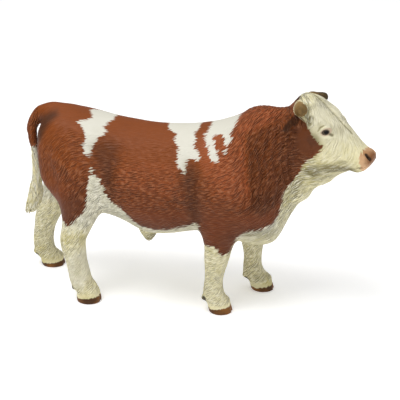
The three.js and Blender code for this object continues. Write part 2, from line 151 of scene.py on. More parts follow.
def turned(points, share, back=False):
    rel = points - HEAD_PIVOT
    lean, turn = HEAD_LEAN * share, -HEAD_TURN * share
    x, y, z = rel.T
    if back:
        x, y = x * np.cos(turn) + y * np.sin(turn), y * np.cos(turn) - x * np.sin(turn)
        y, z = y * np.cos(lean) + z * np.sin(lean), z * np.cos(lean) - y * np.sin(lean)
    else:
        y, z = y * np.cos(lean) - z * np.sin(lean), z * np.cos(lean) + y * np.sin(lean)
        x, y = x * np.cos(turn) - y * np.sin(turn), y * np.cos(turn) + x * np.sin(turn)
    return np.stack([x, y, z], axis=1) + HEAD_PIVOT


def bend_share(points):
    return smoothstep(points[:, 0], HEAD_PIVOT[0], HEAD_PIVOT[0] + HEAD_BEND)


def turn_head(points):
    return turned(points, bend_share(points))


def straighten(points):
    straight = points
    for _ in range(5):
        straight = turned(points, bend_share(straight), back=True)
    return straight


nose = np.array([[68.0, 3.0, 66.0]])
print("the nose turns to", turn_head(nose).round(1), "and comes back within",
      abs(straighten(turn_head(nose)) - nose).max().round(3), "mm")

# %% [markdown]
# The mouldings meet in flat cuts: level ones above the knees and the hocks, an upright one
# behind the rump for the tail, and a slanting one behind the jaw for the head. The slanting one
# runs from the nape to the throat, so two points of it and its level crossing say how it faces.

# %% The seams between the mouldings
PIECES = ["torso", "head", "tail", "right_foreleg", "left_foreleg", "right_hindleg",
          "left_hindleg", "right_horn", "left_horn", "right_ear", "left_ear"]
LEG_SEAMS = {  # height, middle and half sizes of the leg there
    "right_foreleg": (28.0, (11.8, -12.2), (5.7, 5.1)),
    "left_foreleg": (28.0, (19.2, 12.2), (5.9, 5.1)),
    "right_hindleg": (33.0, (-45.0, -13.2), (6.6, 5.4)),
    "left_hindleg": (33.0, (-62.6, 13.1), (7.9, 5.4)),
}
TAIL_SEAM_X = -63.9
neck_top, neck_under = turn_head(np.array([[37, 0, 83.8], [44, 0, 47.6]]))
neck_line = neck_top - neck_under
neck_facing = np.cross(np.cross([0, 0, 1], neck_line * [1, 1, 0]), neck_line)
neck_facing = neck_facing / np.linalg.norm(neck_facing) * (1 if neck_facing[0] > 0 else -1)
print("the neck seam faces", neck_facing.round(2))

# %% [markdown]
# One skin over all the mouldings
#
# The solids are copied, their loose triangles joined, and each is grown by a fifth of a
# millimetre so that the gaps left for glue close. A voxel remesh then drapes one even net of
# half-millimetre squares over everything, as the paint does over the real seams.

# %% Copy, grow and remesh
VOXEL = 0.5
GROWN = 0.2
WELD_STEPS = 1000  # to a millimetre: points on the same step are one


def welded(node):
    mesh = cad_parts[node].data
    points, triangles = in_mm(points_of(mesh)), triangles_of(mesh)
    _, first, joined = np.unique(np.round(points * WELD_STEPS).astype(np.int64), axis=0,
                                 return_index=True, return_inverse=True)
    return points[first], joined.ravel()[triangles]


grown, count = [], 0
bare_points, bare_triangles, bare_piece = [], [], []
for number, name in enumerate(PIECES):
    points, triangles = welded(name)
    bare_points.append(points)
    bare_triangles.append(triangles + count)
    bare_piece += [number] * len(triangles)
    grown.append(points + normals_of(points, triangles) * GROWN)
    count += len(points)
bare_points, bare_triangles = np.concatenate(bare_points), np.concatenate(bare_triangles)
draft = put_in_scene("draft", mesh_of("draft", np.concatenate(grown), bare_triangles))
voxels = draft.modifiers.new("voxels", "REMESH")
voxels.mode = "VOXEL"
voxels.voxel_size = VOXEL
net = bpy.data.meshes.new_from_object(draft.evaluated_get(bpy.context.evaluated_depsgraph_get()))
bpy.data.objects.remove(draft)
print("net:", len(net.vertices), "points,", len(net.polygons), "squares")

# %% [markdown]
# Every square of the net learns which moulding it lies on, from the nearest solid. All but the
# torso get squares of half the size later on, because their forms are finer.

# %% Name the squares
nearest = BVHTree.FromPolygons([tuple(p) for p in bare_points],
                               [tuple(t) for t in bare_triangles.tolist()])
skin = bmesh.new()
skin.from_mesh(net)
bpy.data.meshes.remove(net)
piece_of = skin.faces.layers.int.new("piece")
for face in skin.faces:
    face[piece_of] = bare_piece[nearest.find_nearest(face.calc_center_median())[2]]
print("named", len(skin.faces), "squares")

# %% [markdown]
# A voxel net shows steps where it crosses a form at a slant. It settles when every point moves
# towards the middle of its neighbours, many times and a little each time: freely on the trunk,
# hardly at all on horns, ears, tail and hooves, which would melt away. Then the small mouldings
# get their finer squares.

# %% Settle the net and refine the small mouldings
TRUNK_ROUNDS, LAST_ROUNDS = 60, 3


def relaxed(points, ends, rounds, share):
    """Moves every point, or any value on it, a share of the way to the mean of its neighbours."""
    a, b = ends.T
    many = np.bincount(a, minlength=len(points)) + np.bincount(b, minlength=len(points))
    for _ in range(rounds):
        middle = np.empty_like(points)
        for axis in range(points.shape[1]):
            column = points[:, axis]
            middle[:, axis] = (np.bincount(a, column[b], len(points))
                               + np.bincount(b, column[a], len(points)))
        points = points + (middle / many[:, None] - points) * share[:, None]
    return points


def settle(skin, rounds, softness):
    """Relaxes the points of a net and keeps its squares and their names."""
    mesh = bpy.data.meshes.new("settling")
    skin.to_mesh(mesh)
    points = points_of(mesh)
    ends = np.empty(len(mesh.edges) * 2, np.int32)
    mesh.edges.foreach_get("vertices", ends)
    points = relaxed(points, ends.reshape(-1, 2), rounds, softness(points))
    mesh.vertices.foreach_set("co", points.astype(np.float32).ravel())
    skin.clear()
    skin.from_mesh(mesh)
    bpy.data.meshes.remove(mesh)


def body_softness(points):
    """How far each round may move a point: most on the trunk, least on thin parts."""
    x, y, z = points.T
    straight = straighten(points)
    trunk = smoothstep(z, 24, 38)
    thin = np.maximum(smoothstep(x, -62, -65) * (np.abs(y) < 5) * (z > 28),
                      smoothstep(np.abs(straight[:, 1]), 9.5, 12) * (straight[:, 0] > 34) * (z > 74))
    face = smoothstep(straight[:, 0], 40, 48)
    share = 0.5 * (0.12 + 0.88 * trunk) * (1 - 0.75 * face) * (1 - 0.9 * thin)
    share *= 0.12 + 0.88 * smoothstep(z, 1.5, 5)
    return np.where((z > 83.4) & (x > 38), 0.03, share)


settle(skin, TRUNK_ROUNDS, body_softness)
piece_of = skin.faces.layers.int["piece"]
fine = {edge for face in skin.faces if face[piece_of] != 0 for edge in face.edges}
bmesh.ops.subdivide_edges(skin, edges=sorted(fine, key=lambda edge: edge.index), cuts=1,
                          use_grid_fill=True)
settle(skin, LAST_ROUNDS, lambda points: np.full(len(points), 0.35))
piece_of = skin.faces.layers.int["piece"]
print("refined net:", len(skin.verts), "points")

# %% [markdown]
# The net is cut along the seams now, while it is still whole, so that two mouldings share the
# very same points along their joint and the paint runs over it without a step.

# %% Cut along the seams
def part_along(skin, at, facing, chosen):
    """Cuts the chosen faces, and all that belongs to them, along one plane."""
    faces = [face for face in skin.faces if chosen(face, face.calc_center_median())]
    edges = {edge for face in faces for edge in face.edges}
    points = {point for face in faces for point in face.verts}
    whole = (faces + sorted(edges, key=lambda e: e.index)
             + sorted(points, key=lambda v: v.index))
    bmesh.ops.bisect_plane(skin, geom=whole, dist=1e-3, plane_co=at, plane_no=facing)
    skin.verts.index_update()
    skin.edges.index_update()


skin.verts.index_update()
skin.edges.index_update()
for name, (seam, (x, y), _) in LEG_SEAMS.items():
    part_along(skin, (x, y, seam), (0, 0, 1),
               lambda face, c: abs(c.z - seam) < 1 and math.hypot(c.x - x, c.y - y) < 9.5)
part_along(skin, (TAIL_SEAM_X, 0, 0), (1, 0, 0),
           lambda face, c: abs(c.x - TAIL_SEAM_X) < 1 and abs(c.y) < 4.5 and c.z > 60)
part_along(skin, tuple(neck_top), tuple(neck_facing),
           lambda face, c: c.x > 30 and abs((np.array(c) - neck_top) @ neck_facing) < 1
           and PIECES[face[piece_of]] in ("torso", "head"))
bmesh.ops.triangulate(skin, faces=skin.faces)
whole = bpy.data.meshes.new("whole")
skin.to_mesh(whole)
skin.free()
P = points_of(whole)
T = triangles_of(whole)
piece = np.empty(len(whole.polygons), np.int32)
whole.attributes["piece"].data.foreach_get("value", piece)
edge_ends = np.empty(len(whole.edges) * 2, np.int32)
whole.edges.foreach_get("vertices", edge_ends)
edge_ends = edge_ends.reshape(-1, 2)
bpy.data.meshes.remove(whole)
P -= normals_of(P, T) * GROWN
print("skin:", len(P), "points,", len(T), "triangles")

# %% [markdown]
# The nearest solid only says roughly whose a triangle is. The seams decide it, so that the rim
# of every moulding runs along its flat cut.

# %% Each triangle's moulding, decided by the seams
def is_piece(name):
    return piece == PIECES.index(name)


def give(chosen, name):
    piece[chosen] = PIECES.index(name)


centre = P[T].mean(axis=1)
for name, (seam, (x, y), (deep, wide)) in LEG_SEAMS.items():
    above = centre[:, 2] > seam
    near = ((centre[:, 0] - x) / (deep + 1)) ** 2 + ((centre[:, 1] - y) / (wide + 1)) ** 2 < 1
    give(is_piece(name) & above, "torso")
    give(is_piece("torso") & near & ~above & (centre[:, 2] > seam - 2), name)
ahead = (centre - neck_top) @ neck_facing > 0
neck_pair = (is_piece("torso") | is_piece("head")) & (centre[:, 0] > 28) & (centre[:, 2] > 30)
give(neck_pair & ahead, "head")
give(neck_pair & ~ahead, "torso")
behind = centre[:, 0] < TAIL_SEAM_X
give(is_piece("tail") & ~behind, "torso")
give(is_piece("torso") & behind & (abs(centre[:, 1]) < 4) & (centre[:, 2] > 60), "tail")
point_piece = np.zeros(len(P), int)
for corner in range(3):
    point_piece[T[:, corner]] = piece


def points_on(*names):
    """Marks the points of the named mouldings."""
    return np.isin(point_piece, [PIECES.index(name) for name in names])


for name in PIECES:
    print(name, int(is_piece(name).sum()), "triangles")

# %% [markdown]
# Sculpting by rule
#
# Two tools do all of the sculpting. A touch swells the skin over a muscle or sinks it into a
# hollow, round a point. A stroke raises a fold or scores a groove along a line. Both work on
# a straight head, and on both flanks at once unless a side is named.

# %% The two sculpting tools
def touch(points, facing, at, reach, out, sides=(RIGHT, LEFT)):
    """Swells the skin round a place by out millimetres, or sinks it where out is below zero."""
    straight = straighten(points)
    for side in sides:
        away = (((straight - np.array(at) * [1, side, 1]) / reach) ** 2).sum(axis=1)
        points = points + (out * (1 - np.minimum(away, 1)) ** 2)[:, None] * facing
    return points


def from_line(points, line):
    """Distance to a line through points, and the share of the way along it."""
    line = np.asarray(line, float)
    best = np.full(len(points), 1e9)
    way = np.zeros(len(points))
    for k in range(len(line) - 1):
        step = line[k + 1] - line[k]
        share = np.clip((points - line[k]) @ step / (step @ step), 0, 1)
        away = np.linalg.norm(points - line[k] - share[:, None] * step, axis=1)
        closer = away < best
        best[closer] = away[closer]
        way[closer] = (k + share[closer]) / (len(line) - 1)
    return best, way


def stroke(points, facing, line, width, out, sides=(RIGHT, LEFT), depth_counts=1.0):
    """Raises or sinks the skin along a line. depth_counts below 1 lets it lie off the surface."""
    straight = straighten(points)
    counted = [1, depth_counts, 1]
    low, high = np.min(line, axis=0), np.max(line, axis=0)
    for side in sides:
        local = straight * [1, side, 1]
        margin = width / np.array(counted)
        near = ((local > low - margin) & (local < high + margin)).all(axis=1)
        away, way = from_line(local[near] * counted, np.array(line) * counted)
        ends_soft = np.sin(np.pi * np.clip(way, 0.06, 0.94)) ** 0.5
        moved = np.zeros(len(points))
        moved[near] = out * (1 - np.minimum(away / width, 1) ** 2) ** 2 * ends_soft
        points = points + moved[:, None] * facing
    return points


N = normals_of(P, T)
swell = touch(P, N, (0, 20, 55), (9, 9, 9), 1.0) - P
print("a trial touch moves", int((abs(swell).max(axis=1) > 0).sum()), "points")

# %% [markdown]
# Before the face is sculpted, the left ear comes down and the lower tail comes forward a little,
# to where they stand on the figure. Then come the brow and the crease of the forehead, the
# eyelids with their tear corner, the jaw, the lips and the nostril.

# %% Sculpt the face
EAR_LOWERED, TAIL_FORWARD = 1.4, 0.6
left_ear, tail = points_on("left_ear"), points_on("tail")
from_root = np.linalg.norm(straighten(P) - [39.5, 10, 81], axis=1)
P[left_ear, 2] -= EAR_LOWERED * smoothstep(from_root[left_ear], 1.5, 5)
P[tail, 0] += TAIL_FORWARD * smoothstep(P[tail, 2], 50, 56) * smoothstep(P[tail, 2], 66.5, 63.5)
N = normals_of(P, T)
resting = folded(straighten(P))
LIPS = [(61, 7.6, 64.4), (64.5, 6.8, 64.2), (68.5, 5.6, 64.6), (70.2, 2.5, 65), (70.6, 0, 65.1)]
NOSTRIL = [(68.6, 3.6, 69.5), (69.4, 3.4, 68.6), (70.1, 3.0, 67.7)]
UPPER_LID = [(51.9, 10.9, 76.9), (52.6, 10.9, 78.2), (54, 10.1, 79.0), (55.4, 9.1, 78.6),
             (56.8, 8.5, 77.2)]
LOWER_LID = [(51.9, 11, 76.7), (53.2, 11, 75.8), (54.5, 10.6, 75.5), (55.8, 9.8, 75.5),
             (57.6, 8.6, 75.4)]
CREASE = [(45.4, 2.4, 87.4), (47.2, 2.1, 86.4), (49.1, 2.2, 85.1), (51.6, 2.1, 83.1),
          (54.8, 1.5, 80.6), (58.1, 0.7, 78.1), (61.0, 0.5, 75.7)]
FACE_STROKES = [  # line, width and height
    ([(46, 6.5, 85), (48.6, 8, 82.6), (51, 9.2, 80.9), (55, 8.8, 79.9)], 2.2, 0.5),  # brow
    (UPPER_LID, 0.9, 0.7),
    (LOWER_LID, 0.8, 0.45),
    ([(50.6, 10.4, 79.6), (53.4, 10.2, 80.7), (56.4, 8.8, 79.6)], 0.9, -0.3),  # over the lids
    ([(51, 10.8, 73.9), (54.5, 10.2, 73.6), (58.5, 8.6, 73.3)], 1.2, -0.3),  # and under them
    ([(47.5, 10.8, 73), (49.5, 11.2, 67), (53, 10.4, 62.8), (57.5, 8.6, 61.2)], 2.0, -0.6),  # jaw
    ([(56, 9.2, 72.5), (59.5, 8.2, 70), (63.5, 7, 67.8)], 1.8, 0.4),  # cheek
    ([(58.5, 7.8, 68.5), (61.5, 7.4, 66.5), (63.5, 7, 65.6)], 1.5, -0.35),
    (LIPS, 0.65, -0.7),
    ([(61.5, 7.2, 62.9), (64.5, 6.4, 62.2), (67.5, 4.6, 62.6), (68.6, 2, 62.9)], 1.3, 0.5),  # chin
    ([(60, 6, 61.4), (62, 4, 60.9), (62.6, 0, 60.9)], 1.5, -0.5),
    (NOSTRIL, 1.3, -1.5),
    ([(67.4, 5.2, 69.6), (68.4, 5.0, 68), (69.4, 4.0, 66.6)], 1.0, 0.5),  # wing of the nostril
]
FACE_TOUCHES = [  # middle, reach and height
    ((48.5, 4.5, 86.4), (3.6, 3.4, 2.6), 0.5, (RIGHT, LEFT)),  # forehead
    ((69.5, 4.9, 68.3), (2, 1.4, 1.2), 0.5, (RIGHT, LEFT)),  # nostril
    ((69.4, 3.6, 70.4), (2, 2.2, 1.3), 0.35, (RIGHT, LEFT)),
    ((46.2, 11, 79.6), (2.6, 3, 3), -0.7, (RIGHT, LEFT)),  # temple
    ((64.5, 3.0, 62.3), (3, 3, 1.8), 0.4, (RIGHT, LEFT)),  # lower lip
    ((43.6, 9.5, 81.6), (1.6, 1.8, 1.5), 0.7, (RIGHT, LEFT)),  # root of the ear
    ((53.5, 4.8, 81.5), (5, 3.2, 4), 0.6, (LEFT,)),  # the far brow
    ((44.5, 11, 84.6), (4, 4.2, 4), 0.7, (RIGHT,)),  # root of the horn
]
for side, out in ((LEFT, -0.75), (RIGHT, -0.15)):
    P = stroke(P, N, CREASE, 1.5, out, (side,))
for line, width, out in FACE_STROKES:
    around_eye = line in (UPPER_LID, LOWER_LID)
    P = stroke(P, N, line, width, out, (RIGHT,), 0.4 if around_eye else 1)
    P = stroke(P, N, line, width, out * (0.3 if around_eye else 1), (LEFT,))
for at, reach, out, sides in FACE_TOUCHES:
    P = touch(P, N, at, reach, out, sides)
print("sculpted the face with", len(FACE_STROKES) + 1, "strokes and", len(FACE_TOUCHES), "touches")

# %% [markdown]
# Behind the face the skin of throat and neck hangs in folds. Over them the curls of the neck
# stand in wavy columns, with knobs along the crest. Both are sine waves, faded in and out.

# %% Fold the neck and raise its columns
NECK_FOLDS = [
    ([(25, 14.5, 77), (22.5, 17.6, 69), (21.5, 18.6, 62), (23, 18.4, 54), (26.5, 17, 47)], 3.4, -0.9),
    ([(28.5, 13, 76), (26.2, 16.4, 68), (25.6, 17.4, 60), (27.4, 16.6, 51)], 1.8, -0.6),
    ([(32, 12.5, 75), (30, 15, 67), (29.5, 15.6, 59), (30.5, 14.6, 50)], 1.5, -0.5),
    ([(36.5, 11.5, 72), (34.5, 13, 65), (33.5, 13.4, 58)], 1.4, -0.4),
    ([(44, 11, 68), (42, 11, 61), (38, 11.5, 54), (35, 12, 45)], 2.0, -0.5),
    ([(47, 9, 61), (43, 9, 55), (39, 9, 48)], 1.6, -0.4),
]
COLUMN_PITCH, KNOB_PITCH, STANDS_OUT = 2.9, 1.8, 0.4
for line, width, out in NECK_FOLDS:
    P = stroke(P, N, line, width, out)
x, y, z = straighten(P).T
snaking = x + 0.9 * np.sin(z / 5) + 0.5 * np.sin(z / 2.3 + x / 3)
on_neck = (smoothstep(x, 19, 24) * smoothstep(x, 44, 38) * smoothstep(z, 42, 50)
           * smoothstep(z, 80, 75) * smoothstep(abs(y), 3, 7))
on_crest = (smoothstep(x, 18, 22) * smoothstep(x, 44, 41) * smoothstep(z, 75, 78)
            * smoothstep(N[:, 2], 0.8, 0.96))
columns = np.sin(2 * math.pi * snaking / COLUMN_PITCH) * on_neck
knobs = abs(np.sin(math.pi * (x + 0.4 * np.sin(y)) / KNOB_PITCH)) * on_crest
P = P + N * (STANDS_OUT * (columns + knobs))[:, None]
print("folded the neck, columns", COLUMN_PITCH, "mm and knobs", KNOB_PITCH, "mm apart")

# %% [markdown]
# The trunk and the legs: the fold of the flank, the elbow, the muscles of shoulder and thigh,
# the loose skin of the throat, the hollow beside the tail, and the cleft of each hoof.

# %% Sculpt the trunk and the legs
BODY_STROKES = [
    ([(-27, 19, 63), (-30, 18.5, 56), (-30, 18, 49), (-26, 18.5, 43)], 3.2, -0.9),  # flank
    ([(3, 20.5, 62), (2.5, 20.5, 54), (3.5, 19, 46), (5.5, 17.5, 40)], 2.8, -0.9),  # elbow
    ([(-52, 16, 64), (-50, 18, 56), (-50, 18.5, 48), (-49, 17, 40)], 3.0, 0.5),  # thigh
    ([(21, 18.5, 62), (15, 20.5, 52), (10, 19.5, 44)], 3.5, 0.6),  # shoulder
]
THIGH_EDGE = [(-60.5, 11.5, 66), (-60, 13, 60), (-59, 14, 54.6), (-57.5, 15, 50), (-56.5, 15, 45)]
BODY_TOUCHES = [
    ((-57, 0, 76.5), (14, 10, 7), 0.45), ((-62, 0, 60), (6, 7, 5), 0.3),  # rump
    ((51, 5, 57), (9, 7, 7), 1.6), ((43.5, 3.5, 49), (7, 6, 7), 1.5),  # throat
    ((-61.5, 4, 69.5), (4, 6, 4.5), -0.6),  # beside the root of the tail
    ((-16, 0, 26), (6, 5, 5), 0.7), ((-29, 0, 33.5), (9, 9, 6), 0.7),  # sheath and belly
    ((8, 15, 60), (9, 9, 10), 0.5), ((-19, 0, 72.5), (22, 12, 6), 0.45),  # shoulder and loin
    ((15, 0, 79), (6, 10, 6), -0.45),  # behind the hump
    ((-44, 14, 55), (9, 9, 10), 0.5), ((12, 17, 33), (4, 4, 4), 0.5),  # thigh and forearm
]
FEET = {  # middle of the sole, half its length, top of the hoof, how far back and up the dewclaws are
    "right_foreleg": ((12.9, -12.0), 4.7, 2.5, (6.1, 6.0)),
    "left_foreleg": ((25.4, 12.0), 4.7, 2.0, (6.1, 5.3)),
    "right_hindleg": ((-41.0, -15.0), 5.1, 2.5, (6.5, 6.0)),
    "left_hindleg": ((-67.2, 15.0), 5.1, 2.0, (6.1, 4.9)),
}
for line, width, out in BODY_STROKES:
    P = stroke(P, N, line, width, out)
P = stroke(P, N, THIGH_EDGE, 6.5, 1.5, sides=(RIGHT,))
for at, reach, out in BODY_TOUCHES:
    P = touch(P, N, at, reach, out)
for (x, y), half_sole, _, _ in FEET.values():
    toe = x + half_sole
    cleft = [(toe, y, 0.4), (toe - 0.2, y, 3), (toe - 1.6, y, 5.6), (toe - 3, y, 7.6)]
    P = stroke(P, N, cleft, 0.8, -0.6, sides=(LEFT,))
print("sculpted trunk and legs with", len(BODY_STROKES) + 1, "strokes and", len(BODY_TOUCHES), "touches")

# %% [markdown]
# Hair
#
# The sculptor combs the clay: rearward along the back, down and back over shoulder and flank,
# steeply down the neck and the legs, and forward down the face. A few directions written at
# places on the figure are blended in between, then laid flat on the skin.

# %% The comb: which way the hair lies
COMB = [  # x, side, z, then the direction
    (-60, 8, 72, -0.6, 0.3, -0.7), (-60, 10, 56, -0.35, 0.1, -0.9), (-48, 17, 56, -0.5, 0, -0.85),
    (-45, 5, 75, -1, 0.2, -0.1), (-40, 16, 66, -0.9, 0.1, -0.4), (-45, 16, 42, -0.45, 0, -0.9),
    (-30, 18, 60, -0.87, 0, -0.45), (-28, 18, 45, -0.8, 0, -0.55), (-20, 5, 71, -1, 0.1, 0),
    (-15, 20, 62, -0.93, 0, -0.33), (-12, 20, 48, -0.84, 0, -0.52), (-10, 12, 33, -0.9, 0, -0.3),
    (0, 5, 72, -1, 0.1, 0), (2, 19, 62, -0.9, 0, -0.42), (4, 19, 48, -0.83, 0, -0.55),
    (14, 8, 75, -0.9, 0.3, -0.25), (15, 19, 62, -0.88, 0, -0.48), (14, 19, 46, -0.85, 0, -0.52),
    (24, 6, 80, -0.6, 0.4, -0.6), (25, 17, 68, -0.05, 0, -1), (28, 16, 54, 0.1, 0, -1),
    (33, 12, 74, 0, 0.1, -1), (35, 12, 60, 0.05, 0, -1), (30, 12, 40, -0.6, 0, -0.8),
    (20, 18, 60, -0.6, 0, -0.8), (44, 10, 62, -0.65, 0, -0.75), (50, 11, 68, -0.6, 0, -0.8),
    (46, 6, 86, 0.5, 0.4, -0.5),
    (52, 6, 82, 0.75, 0.15, -0.62), (56, 8, 72, -0.25, 0, -0.95), (62, 5, 73, 0.7, 0.1, -0.7),
    (62, 6, 66, 0.2, 0, -0.98), (12, 12, 20, -0.75, 0, -0.66), (22, 12, 18, -0.7, 0, -0.7),
    (-46, 14, 20, -0.65, 0, -0.75), (-68, 14, 20, -0.65, 0, -0.75), (-67, 0, 65, -0.1, 0, -1),
    (-68, 0, 45, 0, 0, -1),
]


def combed(points, facing):
    """The comb's direction at each point, flat on the skin. Nearer directions weigh more."""
    straight = straighten(points)
    total = np.zeros_like(points)
    for x, y, z, *way in COMB:
        weight = 1 / (((folded(straight) - [x, y, z]) ** 2).sum(axis=1) + 4) ** 1.6
        total += weight[:, None] * np.array(way)
    total[:, 1] *= np.where(straight[:, 1] < 0, -1.0, 1.0)
    total = unit(turned(total + HEAD_PIVOT, bend_share(straight)) - HEAD_PIVOT)
    return unit(total - (total * facing).sum(axis=1, keepdims=True) * facing)


N = normals_of(P, T)
straight = straighten(P)
flow = combed(P, N)
across = np.cross(N, flow)
print("the comb has", len(COMB), "directions, on average", flow.mean(axis=0).round(2))

# %% [markdown]
# Each lock of hair is one tapered, wavy ridge, higher towards its tip, like a tile on a roof.
# Thousands are pressed on the skin, and where two overlap the higher one shows. Their places
# come from a random order with a fixed seed, one to each small cell of space.

# %% Press the locks into the skin
HALF_LENGTH, HALF_WIDTH = 2.3, 0.62  # of a lock on the trunk
SMALL_SHARE = 0.72  # the size of the other locks, against those of the trunk
TRUNK_CELL, SMALL_CELL = 1.05, 0.85  # one lock to each cell of this size
rng = np.random.default_rng(20)
small = ~points_on("torso")


def chosen_places(cell, among):
    order = rng.permutation(np.flatnonzero(among))
    cells = np.floor(P[order] / cell).astype(np.int64)
    _, first = np.unique(cells @ np.array([1, 4096, 4096 * 4096]), return_index=True)
    return order[np.sort(first)]


curly = (smoothstep(straight[:, 0], 16, 26) * smoothstep(straight[:, 0], 46, 38)
         * smoothstep(P[:, 2], 30, 45))
places = np.concatenate([chosen_places(TRUNK_CELL, ~small), chosen_places(SMALL_CELL, small)])
size = np.where(small[places], SMALL_SHARE, 1.0) * rng.uniform(0.8, 1.2, len(places))
half_length = HALF_LENGTH * size * (1 - 0.25 * curly[places])
half_width = HALF_WIDTH * size * rng.uniform(0.85, 1.15, len(places))
wave_height = (0.22 + 0.35 * curly[places]) * size
wave_length = rng.uniform(2.4, 3.6, len(places)) * size
phase = rng.uniform(0, 2 * math.pi, len(places))
skew = rng.normal(0, 0.16 + 0.2 * curly[places], len(places))
lift = rng.uniform(0, 0.3, len(places))
tree = KDTree(len(P))
for index, point in enumerate(P.tolist()):
    tree.insert(point, index)
tree.balance()
pairs_lock, pairs_point = [], []
for number, index in enumerate(places.tolist()):
    found = [hit[1] for hit in tree.find_range(P[index], float(half_length[number]))]
    pairs_point += found
    pairs_lock += [number] * len(found)
lock, spot = np.array(pairs_lock), np.array(pairs_point)
print(len(places), "locks on", len(spot), "pairs of lock and point")

# %% [markdown]
# Now every pair of a lock and a point gets a height: the ridge of the lock, thin at its root,
# high and blunt at its tip. Sorted by height, the highest lock is written last and stays. Each
# point remembers it, because the painter's edge follows whole locks too.

# %% The height of every point under its highest lock
root = places[lock]
offset = P[spot] - P[root]
along = (offset * flow[root]).sum(axis=1)
aside = (offset * across[root]).sum(axis=1) - skew[lock] * along
aside -= wave_height[lock] * np.sin(2 * np.pi * along / wave_length[lock] + phase[lock])
way = (along / half_length[lock] + 1) / 2
taper = np.clip(np.minimum(way * 5, (1 - way) * 2.2 + 0.15), 0, 1)
ridge = 1 - (aside / np.maximum(half_width[lock] * taper, 1e-3)) ** 2
same_side = (N[spot] * N[root]).sum(axis=1) > 0.3
height = np.where((ridge > 0) & same_side, ridge * (0.35 + 0.65 * way) * np.minimum((1 - way) * 6, 1)
                  + lift[lock], 0)
order = np.argsort(height, kind="stable")
HIGHEST, BARE = 1.1, 0.3  # the height that counts as 1, and that of skin without a lock
relief = np.zeros(len(P))
owner = np.arange(len(P))
relief[spot[order]] = height[order]
owner[spot[order]] = root[order]
owner = np.where(relief > 0, owner, np.arange(len(P)))
relief = np.where(relief > 0, np.clip(relief / HIGHEST, 0, 1), BARE)
relief = relaxed(relief[:, None], edge_ends, 1, np.full(len(P), 0.4))[:, 0]
print("mean height of the locks", relief.mean().round(2))

# %% [markdown]
# The hair isn't cut equally deep. It is deepest in the curls of the neck, shallow along the
# back, finer on the legs, and gone at the muzzle, round the eye, on the horns and at the hooves.
# The same holds for the strands that the paint shader draws, so their strength starts from the
# depth, and a few places that the sculptor left calm are taken down further.

# %% How deep the hair is cut in each region
def region(at, reach, points):
    away = np.sqrt((((points - at) / reach) ** 2).sum(axis=1))
    return smoothstep(away, 1.0, 0.6)


COMMON_DEPTH, LEVEL = 0.2, 0.45  # hair below this level sinks the skin, and hair above lifts it
CALM_PLACES = [  # middle and reach, how much shallower the hair is, how much fainter the strands
    ((54, 10, 77.3), (4, 4, 3.2), 1, 0),  # round the eye
    ((49, 11, 73.5), (7, 5, 7.5), 0.7, 0.75),  # cheek
    ((50.5, 6, 82), (6, 6, 5), 0, 0.6),  # forehead
    ((-57, 14, 62), (12, 12, 16), 0, 0.25),  # rump
    ((-53, 14, 44), (13, 9, 15), 0, 0.6),  # thigh
]
local = folded(straight)
top_band = (smoothstep(N[:, 2], 0.6, 0.95) * smoothstep(P[:, 2], 66, 70)
            * smoothstep(P[:, 0], 23, 16))
saddle = smoothstep(P[:, 2], 56, 64) * smoothstep(P[:, 0], 16, 8) * points_on("torso")
hip = 0.7 * smoothstep(np.hypot((P[:, 0] + 47) / 13, (P[:, 2] - 62) / 9), 1.2, 0.6)
depth = COMMON_DEPTH * (1 - 0.75 * top_band) + 0.13 * curly
depth *= (1 - 0.7 * saddle * (1 - hip)) * (1 - 0.35 * smoothstep(straight[:, 0], 46, 52))
depth *= smoothstep(straight[:, 0], 67.5, 65) * np.where(P[:, 2] < 30, 0.75, 1)
depth *= smoothstep(P[:, 2], 2.8, 4.6)
for names, share in ((("right_horn", "left_horn"), 0), (("right_ear", "left_ear"), 0.5),
                     (("tail",), 0.8)):
    depth[points_on(*names)] *= share
for at, reach, shallower, _ in CALM_PLACES:
    depth *= 1 - shallower * region(at, reach, local)
face_calm = 0.45 * smoothstep(straight[:, 0], 50, 58) * smoothstep(straight[:, 2], 60, 66)
stroke_strength = np.clip(depth / COMMON_DEPTH, 0, 1) * (1 - face_calm)
for at, reach, _, fainter in CALM_PLACES:
    stroke_strength *= 1 - fainter * region(at, reach, local)
stroke_strength *= 1 - 0.3 * region((-44.5, 15, 13), (6, 8, 9), local) * (P[:, 1] < 0)
P = P + N * ((relief - LEVEL) * depth)[:, None]
print("hair depth up to", depth.max().round(2), "mm")

# %% [markdown]
# Coordinates that follow the comb
#
# The finest strands are thinner than the net's squares, so the paint shader draws them. It
# needs to know, at every point, how far across and how far along the hair that point lies.
# Both distances are found for the whole skin at once: they are the two heights whose slopes
# agree best with the comb, solved by conjugate gradients over the edges of the net.

# %% Distances across and along the hair
def height_with_slope(slope, start, rounds=170):
    """The height over the net whose slope comes nearest to the one that is asked for."""
    a, b = edge_ends.T
    keep = ((slope[a] * slope[b]).sum(axis=1) > 0.3) + 0.002
    wanted = ((P[b] - P[a]) * (slope[a] + slope[b])).sum(axis=1) / 2 * keep

    def spread(flux):
        return np.bincount(b, flux, len(P)) - np.bincount(a, flux, len(P))

    height = start.copy()
    miss = spread(wanted) - spread((height[b] - height[a]) * keep)
    way, size = miss.copy(), miss @ miss
    for _ in range(rounds):
        change = spread((way[b] - way[a]) * keep)
        share = size / (way @ change)
        height += share * way
        miss -= share * change
        size, old = miss @ miss, size
        way = miss + size / old * way
    return height


